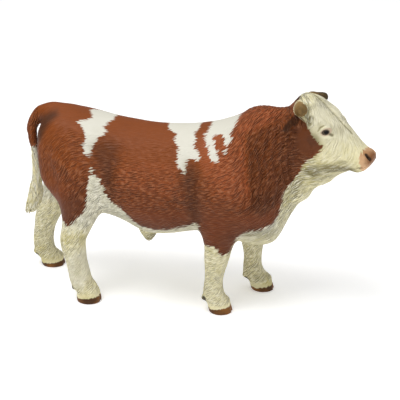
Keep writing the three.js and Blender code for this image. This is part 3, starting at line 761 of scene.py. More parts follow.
UP_AND_BACK = np.array([-0.5, 0.0, 0.87])
sense = np.where(across @ UP_AND_BACK < 0, -1.0, 1.0)[:, None]
hair_across = height_with_slope(across * sense, P @ UP_AND_BACK)
hair_along = height_with_slope(flow, P @ np.array([-0.87, 0.0, -0.5]))
slopes = np.abs(hair_across[edge_ends[:, 1]] - hair_across[edge_ends[:, 0]])
print("mean step across the hair", slopes.mean().round(3), "mm per edge")

# %% [markdown]
# Where the painter's colours lie
#
# The coat is red-brown over cream. On each flank the red is one large blanket with an outline
# seen from the side. The hidden flank is painted in the same manner, with its own outline.

# %% Outlines of the red blanket
BLANKET_RIGHT = [
    (40.5, 95), (40.5, 87), (41.5, 84), (44.5, 82), (46.8, 80.1), (48.2, 78.1), (49.7, 76.5), (51.3, 74.7),
    (53.2, 73), (53.8, 71.8), (52.6, 69.7), (50.3, 67.5), (47.9, 65.8), (46.2, 63.4), (43.8, 59.7),
    (42.5, 57.8), (40.2, 55.2), (38, 53), (36.5, 50.5), (36, 46.6), (34.8, 42.2), (32.5, 38.6),
    (28.2, 36.4), (23, 36.6), (20.6, 34.4), (18.7, 31), (17.4, 28), (16, 26.2), (14, 25.6), (12.9, 27.4),
    (11.4, 30), (9.6, 29.8), (7.6, 29.5), (6, 29), (5, 34), (4.7, 38.5), (1.5, 37.7), (-2, 36.3),
    (-5, 35.2), (-8, 34.9), (-11, 34.7), (-14, 35), (-17, 35.7), (-20.5, 37.7), (-23.5, 41), (-26.5, 43),
    (-29.8, 45.3), (-31.3, 47.5), (-32.2, 50.5), (-34, 53.5), (-36.2, 56), (-37.3, 58.6),
    (-37.6, 54.2), (-38.8, 49.8), (-39, 46.6), (-39.6, 42.5), (-41.1, 39.3),
    (-45.2, 35), (-48.1, 32.9), (-50.9, 35.2), (-53, 37.5), (-56, 42), (-60, 50), (-66, 58), (-80, 62),
    (-80, 95),
]
BLANKET_LEFT = [
    (40.5, 95), (40.5, 87), (42, 84), (44, 81), (46, 79), (48.5, 76), (49.5, 73), (48, 69), (44.5, 65.5),
    (41.5, 61), (39.5, 57), (37, 53), (36, 48), (34.5, 43), (32.5, 39), (29, 36.5), (24, 35.5), (20, 36.5),
    (14, 37.5), (8, 37), (4, 39), (0, 37), (-5, 35.5), (-10, 34.8), (-15, 35.5), (-19, 38), (-22, 41),
    (-26, 43.5), (-28, 48), (-30, 53), (-34, 57), (-38, 60), (-41, 56), (-43, 50), (-46, 47), (-50, 48),
    (-54, 52), (-58, 56), (-66, 60), (-80, 62), (-80, 95),
]
print("outlines of", len(BLANKET_RIGHT), "and", len(BLANKET_LEFT), "corners")

# %% [markdown]
# Fingers of cream run down from the spine. They are measured along the figure and down from the
# line of the spine, so that they bend over the back as the painter's brush led them.

# %% Fingers of cream
PATCHES = [  # along the figure, and down from the spine: below zero on the right flank
    [(-43.8, 2.5), (-41.8, -1.7), (-40.1, -5.2), (-42.7, -8.9), (-45.2, -11.5), (-43.3, -13), (-42, -14.6),
     (-40.9, -17.8), (-40.2, -20.3), (-40.3, -23.1), (-40.5, -26.2), (-39.9, -28.2), (-38.9, -28.6),
     (-37.8, -27.2), (-36.9, -24.5), (-36.8, -21.6), (-35.7, -17.8), (-33.9, -15.1), (-32.9, -12.5),
     (-34.7, -9.6), (-33.6, -5.9), (-32.8, -2.4), (-33.2, 7.3), (-34, 10), (-37, 15), (-39.5, 13),
     (-41, 8), (-43, 4.5)],
    [(-12, 4.3), (-11, -1.9), (-8.4, -5.8), (-6, -7.9), (-6.1, -11.3), (-5.2, -14.9), (-3.3, -18.7),
     (-3.4, -21.7), (-3.3, -25.2), (-2.8, -28.4), (-1.5, -30.2), (0.2, -32.7), (0.5, -30.5), (0.1, -27.8),
     (0.9, -25.4), (2.8, -25.3), (4.6, -26.6), (5.4, -24.8), (4.6, -21.8), (2.9, -19.4), (2.1, -15.3),
     (2.4, -12.4), (1.2, -8), (2.1, -4.9), (1.8, 1.1), (1.5, 9), (-1, 16), (-3, 22), (-5.5, 17), (-9, 11)],
    [(6.2, 1.4), (6.3, -3.6), (6.4, -7.1), (5.4, -10.8), (5.9, -14.7), (7, -17.4), (7.8, -20.7),
     (8.7, -24), (9.5, -26.9), (11, -28.8), (12.9, -29.4), (12.4, -26.9), (11.9, -24.2), (11, -20.9),
     (9.9, -17.5), (9.4, -14.2), (10.3, -12), (12.5, -12.9), (13.7, -16.1), (14.1, -20), (15.1, -21.5),
     (16.2, -20.6), (16.9, -18.9), (15.9, -15.7), (15.9, -13.8), (17.1, -11.7), (17.1, -8.3),
     (17.5, -4.9), (17.5, 3), (14, 7), (9.5, 9), (7, 10), (5, 5)],
    [(13.9, -23.1), (15.3, -23.6), (15.6, -25.9), (14.6, -26.3)],
]
SPINE = [(-64, 70), (-59.4, 75.2), (-53.6, 76.6), (-45.5, 75.5), (-36.5, 73.7), (-26.5, 72.2), (-17, 71.2),
         (-6.5, 71.8), (4, 73.4), (12, 75.8), (18, 79.2), (24, 81.6), (44, 88)]
print(len(PATCHES), "fingers of cream")

# %% [markdown]
# Every point gets its distance to the nearest edge between the two colours, more than zero on
# the cream side. A share of it is read at the middle of the lock that the point lies under, so
# that the edge follows whole locks and gets teeth.

# %% Distance to the edge of the red
def inside(x, y, outline):
    """Distance to a closed outline, more than zero inside it and less outside."""
    best = np.full(len(x), 1e9)
    within = np.zeros(len(x), bool)
    for (x0, y0), (x1, y1) in zip(outline, outline[1:] + outline[:1]):
        dx, dy = x1 - x0, y1 - y0
        share = np.clip(((x - x0) * dx + (y - y0) * dy) / (dx * dx + dy * dy), 0, 1)
        best = np.minimum(best, (x - x0 - share * dx) ** 2 + (y - y0 - share * dy) ** 2)
        if y0 != y1:
            within ^= ((y0 > y) != (y1 > y)) & (x < dx * (y - y0) / dy + x0)
    return np.where(within, np.sqrt(best), -np.sqrt(best))


straight = straighten(P)
x, y, z = straight.T
red = np.where(y < 0, inside(x, z, BLANKET_RIGHT), inside(x, z, BLANKET_LEFT))
down = np.sign(y) * (abs(y) + np.maximum(np.interp(x, *np.array(SPINE).T) - z, 0))
patch = np.maximum.reduce([inside(x, down, outline) for outline in PATCHES])
cream = np.maximum(-red, patch)
cream = np.where(points_on("tail"), 59 - z, cream)
on_ear = points_on("right_ear", "left_ear")
cream[on_ear] = -5
cream = 0.85 * cream + 0.15 * cream[owner]
smooth_low = 0.6 * smoothstep(z, 49, 41) * smoothstep(cream, -0.5, -3) * points_on("torso")
stroke_strength *= (1 - smooth_low) * (1 - 0.6 * smoothstep(patch, -1, 1))
print("cream share of the skin", (cream > 0).mean().round(2))

# %% [markdown]
# Shadow is airbrushed on the coat where the form turns in: under the mane and the jaw, in the
# flank, behind the elbow and beside the tail. Large shadows have an outline, small ones are
# round spots. The sunlit side of neck and hump is sprayed lighter, and counts below zero.

# %% Outlines and spots of airbrushed shadow
NECK_SHADE = [(22.5, 74.5), (27.5, 76.8), (34, 79.5), (40, 81.5), (44, 82.5), (48.5, 80), (55, 72.4),
              (50, 67), (44.4, 62), (39.7, 56), (36.5, 50), (32, 45), (28.5, 43), (25.5, 46), (25, 54),
              (23.8, 62), (23, 68)]
FLANK_SHADE = [(-35.7, 67.5), (-33.2, 68.6), (-30, 68), (-27.5, 66.8), (-26.8, 63), (-28, 58), (-28, 51),
               (-27.5, 46), (-29, 43.5), (-32, 48), (-32.5, 52), (-34, 58), (-36.5, 62), (-37.5, 66)]
ELBOW_SHADE = [(0.1, 63), (3.8, 62.7), (5.7, 59.5), (6.2, 53.9), (6.7, 47.9), (5.7, 39), (2.6, 36),
               (1.4, 42.8), (0.1, 49.2), (-1.2, 54.9), (-1.1, 59.7)]
RUMP_SHADE = [(-65.5, 66), (-64.3, 70.2), (-62.5, 72.5), (-60, 74.4), (-57.2, 75.7), (-55, 76.1),
              (-53.6, 75), (-55.2, 73.4), (-56.6, 71.8), (-57.4, 70), (-58, 68), (-59.2, 65.5),
              (-61.5, 63)]
THIGH_SHADE = [(-41, 50), (-40, 42), (-43, 37), (-48, 34), (-52, 38), (-50, 44), (-45, 47)]
SHADES = [  # outline, strength, half width of its edge, and from where beside the spine it lies
    (NECK_SHADE, 0.6, 1.6, (2, 5)), (FLANK_SHADE, 0.62, 3, (2, 5)), (ELBOW_SHADE, 0.7, 3, (2, 5)),
    (RUMP_SHADE, 0.9, 1.6, (0.5, 2.5)), (THIGH_SHADE, 0.4, 3, (2, 5)),
]
SHADOWS = [  # middle, reach and strength of each spot, on both flanks
    # nape, horn, ear and eye
    ((37, 12, 78), (5, 9, 6), 0.9), ((42.5, 11, 81), (3, 5, 3.4), 0.95),
    ((40.2, 4, 86), (2.2, 7, 3.5), 0.9), ((48.4, 11.3, 80.4), (2.2, 4, 2), 0.75),
    ((48.6, 11, 82), (1.7, 3, 1.5), 0.85), ((57.2, 5.2, 77.4), (4, 3.4, 3), 0.3),
    ((56.7, 7.5, 78.2), (2.2, 4, 2.6), 0.3), ((53.6, 10, 73.6), (3.5, 4, 2.4), 0.2),
    # cheek, jaw, lips and chin
    ((50, 11, 74), (5, 5, 5), 0.75), ((45, 11, 67), (6, 5, 5), 0.6), ((50, 8, 60.5), (8, 6, 4.5), 0.75),
    ((56.5, 6, 62.5), (8, 6, 4.2), 0.85), ((61, 5.5, 62.6), (7, 6, 3.4), 0.95),
    ((67, 3, 61.8), (5, 4, 1.9), 0.75), ((51, 5, 59), (7, 6, 4), 0.5), ((66, 4, 62.3), (4, 4, 1.7), 0.5),
    ((60, 6, 61.6), (3, 5, 1.6), 0.55), ((59.5, 7, 64.8), (5, 4, 2.6), 0.45),
    ((68, 4.5, 64.3), (3, 3, 2), 0.4), ((57, 6.3, 63.8), (4.5, 3.5, 2.2), 0.65),
    ((60.3, 7.4, 66), (3, 3, 1.5), 0.5),
    # throat and brisket
    ((43, 9, 54), (6, 7, 8), 0.55), ((38, 8, 47), (3.5, 5, 6), 0.4), ((30, 10, 33.5), (9, 8, 4.5), 0.6),
    ((28, 8, 29), (7, 8, 4), 0.35), ((25.5, 14, 35.5), (6, 5, 3.5), 0.7),
    # legs, belly and rump
    ((16, 15, 33), (7, 9, 5), 0.4), ((21, 12, 12), (4, 5, 6), 0.35), ((17, 13, 14), (2.5, 5, 9), 0.25),
    ((-18, 0, 24), (6, 5, 5), 0.85), ((-28, 15, 38), (6, 8, 5), 0.35), ((-47, 13.5, 30), (4, 4, 4), 0.3),
    ((-60, 8, 44), (6, 7, 10), 0.25), ((-61, 12, 55), (4, 8, 14), 0.35),
    ((-57, 14, 58), (12, 12, 15), 0.14),
]
SUN = [((20, 14, 68), (20, 16, 24), 0.5), ((24, 6, 78), (15, 13, 8), 0.6),
       ((-8, 18, 56), (24, 8, 8), 0.22)]
marked = folded(straight)
side_y = marked[:, 1]
shade = np.zeros(len(P))
for outline, strength, edge, beside in SHADES:
    soft = smoothstep(inside(x, z, outline), -edge, edge) * smoothstep(side_y, *beside)
    shade = np.maximum(shade, strength * soft)
for at, reach, strength in SHADOWS:
    away = np.sqrt((((marked - at) / reach) ** 2).sum(axis=1))
    shade = np.maximum(shade, strength * smoothstep(away, 1.1, 0.3))
print(len(SHADES), "shaded outlines and", len(SHADOWS), "spots, mean shade", shade.mean().round(2))

# %% [markdown]
# The painter shades a few creases with a fine brush, as painted shade: the forehead, the fold
# over the eye, the tear corner, which also gets a dark mark. They follow the lines that the
# sculptor cut. A line may be read with its depth counted less, because the skin has moved away
# from it since.

# %% Shade in creases, inside the ear and under the belly
def from_crease(line, depth_counts=1.0, raised=0.0):
    counted = [1, depth_counts, 1]
    return from_line(resting * counted, np.array(line) * counted + [0, 0, raised])[0]


TEAR = [(55.6, 9.5, 77.0), (56.1, 9.3, 76.6), (56.6, 9.1, 76.3)]
HORN_ROOT = np.array([41.6, 6.6, 84.7])
ear_front = (straight - [40.8, 0, 80.4]) @ [0.78, 0, -0.62]
shade[on_ear] = 0.95 * smoothstep(ear_front[on_ear], -1.7, -0.4)
tear = from_crease(TEAR, 0.3)
# Painted shade on the lower far legs.
far_leg_shade = smoothstep(y, 4, 8) * smoothstep(z, 30, 20)
belly = smoothstep(N[:, 2], -0.05, -0.6) * smoothstep(z, 44, 36) * (z > 22)
horn_axis, _ = from_line(straight * [1, -1, 1], [HORN_ROOT, (48.5, 17, 85.5)])
# Painted shade in a ring on the head round the root of the right horn.
horn_root_shade = smoothstep(horn_axis, 4.4, 3.2) * smoothstep(x, 43, 46.5) * points_on("head") * (z < 87)
shade = np.maximum.reduce([
    shade, 0.14 * far_leg_shade, 0.32 * belly, 0.6 * horn_root_shade,
    0.75 * smoothstep(from_crease(CREASE), 1.1, 0.2) * (y > 0),
    0.75 * smoothstep(from_crease(UPPER_LID, 0.3, 0.95), 0.5, 0.15),
    0.65 * smoothstep(tear, 0.75, 0.3)])
sun = np.maximum.reduce([strength * region(at, reach, marked) for at, reach, strength in SUN])
shade = shade - sun * (1 - shade)
print("shade from", shade.min().round(2), "to", shade.max().round(2))

# %% [markdown]
# Last come the bare skin of the muzzle, the horn of the hooves, and what is nearly black: the
# nostrils, the line of the lips, the rim of the eye and the dewclaws. Muzzle and hooves have an
# edge, so they are distances as the cream is.

# %% Muzzle, hooves and dark marks
NOT_A_HOOF = -9.0
CLAW_ASIDE, CLAW_REACH = 2.3, [1.4, 1.3, 1.5]  # of a dewclaw
muzzle = x - np.interp(z, [61, 64, 68, 71, 74], [68.3, 67.4, 66.8, 66.9, 68.2])
from_eye = np.hypot((resting[:, 0] - 54.4) / 1.3, (resting[:, 2] - 77.4) / 1.02)
from_eye += 9 * (resting[:, 1] < 6)
hoof = np.full(len(P), NOT_A_HOOF)
dark = np.maximum.reduce([
    0.92 * smoothstep(from_crease(NOSTRIL), 1.05, 0.6), 0.55 * smoothstep(from_crease(LIPS), 0.5, 0.15),
    0.9 * smoothstep(from_eye, 1.05, 0.85), 0.5 * smoothstep(tear, 0.45, 0.1)])
for (foot_x, foot_y), _, hoof_top, (claw_back, claw_up) in FEET.values():
    near = (P[:, 2] < 14) & (np.hypot(P[:, 0] - foot_x, P[:, 1] - foot_y) < 13)
    hoof[near] = (hoof_top + 0.12 * (P[:, 0] - foot_x) - P[:, 2])[near]
    for aside in (-CLAW_ASIDE, CLAW_ASIDE):
        claw_at = [foot_x - claw_back, foot_y + aside, claw_up]
        claw = np.linalg.norm((P - claw_at) / CLAW_REACH, axis=1)
        dark = np.maximum(dark, 0.85 * smoothstep(claw, 1.05, 0.8))
lid = 0.75 * smoothstep(from_eye, 1.4, 1.15) * np.where(y < 0, 1, 0.3)
print("muzzle points", int((muzzle > 0).sum()), "hoof points", int((hoof > 0).sum()))

# %% [markdown]
# The thin wash that stays in cream hair is strong on the legs, the chin and the brisket, weak on
# the forehead, and nearly missing in the fingers on the back. Under the jaw and down the throat it
# also darkens the cream as painted shade, and on the near hind cannon there is less of it, as a
# painted highlight. The strands are finer on the legs and the face than on the trunk.

# %% How much wash stays, and where the hair is fine
wash = 0.4 + 0.6 * np.maximum(smoothstep(z, 36, 28), smoothstep(x, 30, 40))
wash *= 1 - 0.35 * smoothstep(x, 44, 50) * smoothstep(z, 70, 78)
# More wash under the jaw and down the throat, which also darkens them as painted shade.
wash += 0.5 * region((52, 6, 60), (11, 8, 6), marked) + 0.4 * region((38, 4, 45), (9, 9, 12), marked)
# Less wash on the near hind cannon, which lightens it as a painted highlight.
wash *= 1 - 0.45 * region((-44.5, 15, 14), (6, 8, 12), marked) * (P[:, 1] < 0)
wash = np.where(patch > -1.5, 0.12, wash)
fine_hair = np.maximum(smoothstep(z, 36, 27), smoothstep(x, 42, 50))
print("mean wash", wash.mean().round(2), "and share of fine hair", fine_hair.mean().round(2))

# %% [markdown]
# Each colour below is a colour of the painted toy, given as an sRGB hex value. One
# function turns it to the linear numbers that Blender wants. One more adds any node: its inputs
# are a list, or a dict by name or number, of values, sockets or nodes. A node stands for its
# first output.

# %% Colours and nodes
def colour(code):
    parts = [int(code[k:k + 2], 16) / 255 for k in (1, 3, 5)]
    return (*(p / 12.92 if p <= 0.04045 else ((p + 0.055) / 1.055) ** 2.4 for p in parts), 1)


def node(tree, kind, inputs=(), stops=(), **settings):
    """Adds a node, sets its properties and its colour stops, and fills or links its inputs."""
    made = tree.nodes.new(kind if "Node" in kind else "ShaderNode" + kind)
    for key, value in settings.items():
        setattr(made, key, value)
    for number, (at, code) in enumerate(stops):
        elements = made.color_ramp.elements
        stop = elements[number] if number < 2 else elements.new(at)
        stop.position, stop.color = at, colour(code)
    for key, value in (inputs.items() if isinstance(inputs, dict) else enumerate(inputs)):
        if isinstance(value, bpy.types.Node):
            value = value.outputs[0]
        if isinstance(value, bpy.types.NodeSocket):
            tree.links.new(value, made.inputs[key])
        else:
            made.inputs[key].default_value = value
    return made


def new_material(name):
    made = bpy.data.materials.new(name)
    made.use_nodes = True
    made.node_tree.nodes.clear()
    return made, made.node_tree


print("the red of the back in linear numbers:", [round(part, 3) for part in colour("#824010")])

# %% [markdown]
# The coat: water-based paint on PVC
#
# PVC has an index of refraction near 1.5 and the paint a satin surface, roughness about 0.5.
# What the paint needs to know about a point was written on the skin, so it is read back first.

# %% What the paint knows about a point
def read_marks(tree, title):
    read = node(tree, "Attribute", attribute_name=title).outputs["Vector"]
    return node(tree, "SeparateXYZ", [read]).outputs


def known_of_a_point(tree):
    here = SimpleNamespace(place=node(tree, "TexCoord").outputs["Object"])
    here.cream, here.relief, here.shade = read_marks(tree, "paint")
    here.muzzle, here.hoof, here.dark = read_marks(tree, "marks")
    here.wash, here.fine, here.lid = read_marks(tree, "hair")
    here.across, here.along, here.strength = read_marks(tree, "comb")
    here.height = node(tree, "SeparateXYZ", [here.place]).outputs[2]
    here.blotch = node(tree, "TexNoise", {"Vector": here.place, "Scale": 130.0, "Detail": 3.0})
    return here


print("four marks of three numbers each are read at every point")

# %% [markdown]
# The strands are a noise drawn out along the comb's own coordinates, with a row of waves across.
# On the figure they are finer than half a millimetre, too fine to show in the picture, so they
# are drawn about 0.8 mm from strand to strand. Their low parts are the grooves, where the wash
# stays, and their high parts are the tips, which catch the dry brush and carry a painted highlight
# as well. Long cells in the same coordinates give each lock its tone, and the edge between two
# colours its teeth.

# %% Strands, grooves and tips
COARSE = (0.4, 2.4, 0.8)  # width, length and pitch of the strands, millimetres
FINE = (0.36, 1.9, 0.75)


def strands(tree, across_hair, along_hair, width, length, pitch):
    """The strands at a point, and the plane in which they are drawn."""
    plane = node(tree, "CombineXYZ", [
        node(tree, "Math", [across_hair, width], operation="DIVIDE"),
        node(tree, "Math", [along_hair, length], operation="DIVIDE")])
    broken = node(tree, "TexNoise", {"Vector": plane, "Scale": 1.0, "Detail": 0.0},
                  noise_dimensions="2D")
    turns = node(tree, "Math", [across_hair, 2 * math.pi / pitch], operation="MULTIPLY")
    rows = node(tree, "Math", [turns], operation="SINE")
    return node(tree, "Math", [rows, 0.09, broken], operation="MULTIPLY_ADD"), plane


def add_hair(tree, here):
    wobble = node(tree, "TexNoise", {"Vector": here.place, "Scale": 420.0, "Detail": 1.0})
    waved = node(tree, "Math", [wobble, 0.9, here.across], operation="MULTIPLY_ADD")
    coarse, plane = strands(tree, waved, here.along, *COARSE)
    fine, _ = strands(tree, waved, here.along, *FINE)
    here.strand = node(tree, "Mix", {0: here.fine, 2: coarse, 3: fine})
    cells = node(tree, "TexVoronoi", {"Vector": plane, "Scale": 0.7, "Randomness": 1.0},
                 voronoi_dimensions="2D")
    here.lot = node(tree, "SeparateXYZ", [cells.outputs["Color"]])
    high = node(tree, "MapRange", [here.strand, 0.57, 0.65], interpolation_type="SMOOTHSTEP")
    low = node(tree, "MapRange", [here.strand, 0.34, 0.43, 1.0, 0.0], interpolation_type="SMOOTHSTEP")
    here.tip = node(tree, "Math", [high, here.strength], operation="MULTIPLY")
    here.groove = node(tree, "Math", [low, here.strength], operation="MULTIPLY")


def toothed_edge(tree, here, side, width, teeth):
    """How much of a colour lies at a point: locks and strands push its edge to and fro."""
    by_lock = node(tree, "Math", [here.lot, 0.5], operation="SUBTRACT")
    by_strand = node(tree, "Math", [here.strand, 0.5], operation="SUBTRACT")
    pushed = node(tree, "Math", [by_lock, teeth, side], operation="MULTIPLY_ADD")
    pushed = node(tree, "Math", [by_strand, teeth * 2.2, pushed], operation="MULTIPLY_ADD")
    return node(tree, "MapRange", [pushed, -width, width], interpolation_type="SMOOTHSTEP")


print("strands drawn", COARSE[2], "and", FINE[2], "mm apart")

# %% [markdown]
# Paint goes on in thin coats, one over the other. The red starts brighter on the back than on
# the belly: painted light from above. Then come the hollows between the locks, darkened with wash
# and painted shade, the tone of each lock, the airbrushed shadow, the sprayed light, the dark
# grooves and the dry-brushed tips, which also carry a painted highlight and fade in the painted
# shadow. Cream gets its yellowish wash, two depths of shadow, grooves and tips in the same way.

# %% Red-brown and cream
def coats_over(tree, ground, coats):
    """Lays coats over a ground colour. Each is how thick it lies, and its colour."""
    ground, *paints = [colour(paint) if isinstance(paint, str) else paint
                       for paint in (ground, *(paint for _, paint in coats))]
    for (thick, _), paint in zip(coats, paints):
        ground = node(tree, "Mix", {0: thick, 6: ground, 7: paint}, data_type="RGBA",
                      clamp_factor=True).outputs[2]
    return ground


def red_brown(tree, here):
    # Painted light from above: the red is lighter high on the figure and darker low down.
    up = node(tree, "MapRange", [here.height, 0.037, 0.061], interpolation_type="SMOOTHSTEP")
    # Wash and painted shade in the hollows between the locks, darker where the relief is low.
    hollow_wash_and_shade = node(tree, "Math", [here.relief, -0.16, 0.13], operation="MULTIPLY_ADD")
    lock_tone = node(tree, "Math", [here.lot, 0.04], operation="MULTIPLY")
    sprayed_light = node(tree, "Math", [here.shade, -1.0], operation="MULTIPLY")
    groove = node(tree, "Math", [here.groove, 0.45], operation="MULTIPLY")
    # The dry-brushed tips are also a painted highlight, fainter where painted shadow lies.
    tip_light_share = node(tree, "Math", [here.shade, -0.06, 0.22], operation="MULTIPLY_ADD")
    tip = node(tree, "Math", [here.tip, tip_light_share], operation="MULTIPLY")
    tone = coats_over(tree, "#69310F", [
        (up, "#824010"), (hollow_wash_and_shade, "#4E2410"), (lock_tone, "#9C4F18"), (here.shade, "#47260F"),
        (sprayed_light, "#AA5830"), (groove, "#451F0B"), (tip, "#C88A62")])
    return node(tree, "Mix", {0: 0.1, 6: tone, 7: here.blotch}, data_type="RGBA",
                blend_type="OVERLAY").outputs[2]


def washed_cream(tree, here):
    wash = node(tree, "ValToRGB", [here.blotch],
                stops=[(0.3, "#D2C78C"), (0.52, "#EAE2BA"), (0.75, "#DDD4A2")])
    shadow = node(tree, "Math", [here.shade, 0.9], operation="MULTIPLY")
    deep_shadow = node(tree, "Math", [here.shade, 1.2, -0.6], operation="MULTIPLY_ADD")
    stays = node(tree, "Math", [here.wash, 0.38, 0.04], operation="MULTIPLY_ADD")
    groove = node(tree, "Math", [here.groove, stays], operation="MULTIPLY")
    # Dry-brushed tips of the cream, also a painted highlight.
    tip = node(tree, "Math", [here.tip, 0.6], operation="MULTIPLY")
    return coats_over(tree, "#D9D7CD", [
        (here.wash, wash), (shadow, "#857C4C"), (deep_shadow, "#5C5230"), (groove, "#6C6038"),
        (tip, "#F4F0DE")])


print("red-brown in eight tones, cream in five over its wash")

# %% [markdown]
# The whole coat is the red, then cream, then the bare skin of the muzzle, the rims of the eyes,
# the hooves, and last what is nearly black. Strands also lift the surface by up to 0.9 mm in the
# shader's bump, which is how deep the real grooves look, and are a little glossier on top.

# %% The painted coat
def painted_coat():
    made, tree = new_material("hand_painted_pvc_coat")
    here = known_of_a_point(tree)
    add_hair(tree, here)
    patchy = node(tree, "MapRange", [here.blotch, 0.35, 0.65], interpolation_type="SMOOTHSTEP")
    nose = node(tree, "MapRange", [here.muzzle, 1.0, 3.2], interpolation_type="SMOOTHSTEP")
    bare_skin = coats_over(tree, "#AC7D52", [(patchy, "#D3AA82"), (nose, "#8A5A34")])
    horn_of_hoof = coats_over(tree, "#4A2D12", [(patchy, "#855524")])
    coat = coats_over(tree, red_brown(tree, here), [
        (toothed_edge(tree, here, here.cream, 0.4, 0.85), washed_cream(tree, here)),
        (toothed_edge(tree, here, here.muzzle, 0.4, 0.6), bare_skin), (here.lid, "#C9AE94"),
        (toothed_edge(tree, here, here.hoof, 0.15, 0.3), horn_of_hoof), (here.dark, "#20130D")])
    rough = node(tree, "MapRange", {0: here.strand, 3: 0.62, 4: 0.45})
    raised = node(tree, "Math", [here.strand, here.strength], operation="MULTIPLY")
    carve = node(tree, "Bump", {"Strength": 1.0, "Distance": 0.0009, "Height": raised})
    shader = node(tree, "BsdfPrincipled", {
        "Base Color": coat, "Roughness": rough, "IOR": 1.5, "Specular IOR Level": 0.22,
        "Normal": carve})
    node(tree, "OutputMaterial", [shader])
    return made


coat_paint = painted_coat()
print("material:", coat_paint.name, "with", len(coat_paint.node_tree.nodes), "nodes")

# %% [markdown]
# The horns are smooth and cut short, cream at the root and brown at the end, painted in one
# stroke that follows the length of the horn. The eye is black lacquer, a little glossier than
# the coat and slightly cloudy.

# %% Horn paint and eye lacquer
def horn_paint():
    made, tree = new_material("horn_paint_on_pvc")
    place = node(tree, "TexCoord").outputs["Object"]
    laid = node(tree, "TexNoise", {"Vector": place, "Scale": 900.0, "Detail": 3.0})
    length = node(tree, "Math", [laid, 0.5, read_marks(tree, "marks")[0]], operation="MULTIPLY_ADD")
    tone = node(tree, "ValToRGB", [length],
                stops=[(0.2, "#D9CDA6"), (0.3, "#947848"), (0.62, "#896C3E"), (1.0, "#4A3A22")])
    bump = node(tree, "Bump", {"Strength": 0.3, "Distance": 0.0001, "Height": laid})
    shader = node(tree, "BsdfPrincipled", {
        "Base Color": tone, "Roughness": 0.6, "IOR": 1.5, "Specular IOR Level": 0.2, "Normal": bump})
    node(tree, "OutputMaterial", [shader])
    return made


def eye_lacquer():
    made, tree = new_material("gloss_lacquer_on_pvc")
    place = node(tree, "TexCoord").outputs["Object"]
    cloud = node(tree, "TexNoise", {"Vector": place, "Scale": 700.0})
    shader = node(tree, "BsdfPrincipled", {
        "Base Color": coats_over(tree, "#0C0908", [(cloud, "#1A1718")]), "Roughness": 0.3, "IOR": 1.5,
        "Specular IOR Level": 0.12, "Coat Weight": 0.03, "Coat Roughness": 0.06})
    node(tree, "OutputMaterial", [shader])
    return made


horn_colours, eye_gloss = horn_paint(), eye_lacquer()
print("materials:", horn_colours.name, eye_gloss.name)

# %% [markdown]
# Parting the skin into its mouldings
#
# Everything that was worked out for the points is gathered first: four marks for the paint, and
# the normals of the whole skin. A horn has no muzzle, so its place in that mark says how far
# along the horn a point lies.

# %% The marks that every point carries
HORN_LENGTH, HORN_WAY = 12, [0.55, 0.83, 0.06]
horn_way = ((marked - HORN_ROOT) @ HORN_WAY - 1.2) / HORN_LENGTH
# The far horn is also painted darker along its whole length than the near one: painted shade.
horn_way += 0.45 * points_on("left_horn")  # only the brown end of the far horn shows
on_horn = points_on("right_horn", "left_horn")
MARKS = {  # three numbers each, read back by the paint
    "paint": (cream, relief, shade),
    "marks": (np.where(on_horn, horn_way, muzzle), hoof, dark),
    "hair": (wash, fine_hair, lid),
    "comb": (hair_across, hair_along, stroke_strength),
}
skin_values = [np.stack(three, axis=1) for three in MARKS.values()] + [normals_of(P, T)]
print("marks:", *MARKS)

# %% [markdown]
# Each moulding takes its own triangles. Where it was cut open it is closed with a flat fan of
# triangles, which lies against the next moulding and is never seen. The skin's own normals
# are kept, so that light runs over the seams as it does over the glued and painted figure.

# %% Close and build one moulding
def open_loops(triangles):
    """The rims of a piece of skin, each as the points round it in order."""
    sides = np.concatenate([triangles[:, [0, 1]], triangles[:, [1, 2]], triangles[:, [2, 0]]])
    there = set(map(tuple, sides.tolist()))
    after = {b: a for a, b in there if (b, a) not in there}
    loops = []
    while after:
        start = min(after)
        loop = [start]
        while after.get(loop[-1], start) != start:
            loop.append(after.pop(loop[-1]))
        after.pop(loop[-1], None)
        loops.append(loop)
    return loops


def moulding(name, extra=None):
    """One closed moulding. extra adds a shell: its points, triangles, marks and normals."""
    mine = T[piece == PIECES.index(name)]
    used, local_t = np.unique(mine, return_inverse=True)
    local_t = local_t.reshape(-1, 3)
    points, values = P[used], [each[used] for each in skin_values]
    loops = open_loops(local_t)
    caps = []
    for loop in loops:
        hub = len(points)
        points = np.vstack([points, points[loop].mean(axis=0)])
        values = [np.vstack([each, each[loop].mean(axis=0)]) for each in values]
        ring = np.array(loop)
        caps.append(np.stack([np.full(len(ring), hub), ring, np.roll(ring, -1)], axis=1))
    triangles = np.vstack([local_t, *caps]) if caps else local_t
    lids = range(len(local_t), len(triangles))
    if extra:
        triangles = np.vstack([triangles, extra[1] + len(points)])
        points = np.vstack([points, extra[0]])
        values = [np.vstack([each, more]) for each, more in zip(values, extra[2:])]
    mesh = mesh_of(name, in_metres(points), triangles)
    for title, three in zip(MARKS, values):
        mesh.attributes.new(title, "FLOAT_VECTOR", "POINT").data.foreach_set(
            "vector", three.astype(np.float32).ravel())
    smooth = np.ones(len(triangles), bool)
    smooth[lids] = False
    mesh.polygons.foreach_set("use_smooth", smooth)
    corner_normals = values[-1][triangles]
    corner_normals[lids] = unit(facings(points, triangles[lids]))[:, None, :]
    mesh.normals_split_custom_set(corner_normals.reshape(-1, 3).tolist())
    print(name, len(points), "points,", len(triangles), "triangles,", len(loops), "rims closed")
    return put_in_scene(name + "_moulding", mesh)


print("the torso is open at", len(open_loops(T[is_piece("torso")])), "rims")

# %% [markdown]
# The tail ends in a switch of long hair. Its strands follow one path, the bone of the tail,
# which is what Geometry Nodes do well: the path is copied once for each strand, each copy is
# pushed out to the tail's girth at its own angle, waved, trimmed to its own length, and given
# a thin, tapered, round section. The sizes are named inputs, and the seed is fixed.

# %% The tree that grows the switch
GOLDEN_ANGLE = 2.39996  # spreads any number of strands evenly round the path


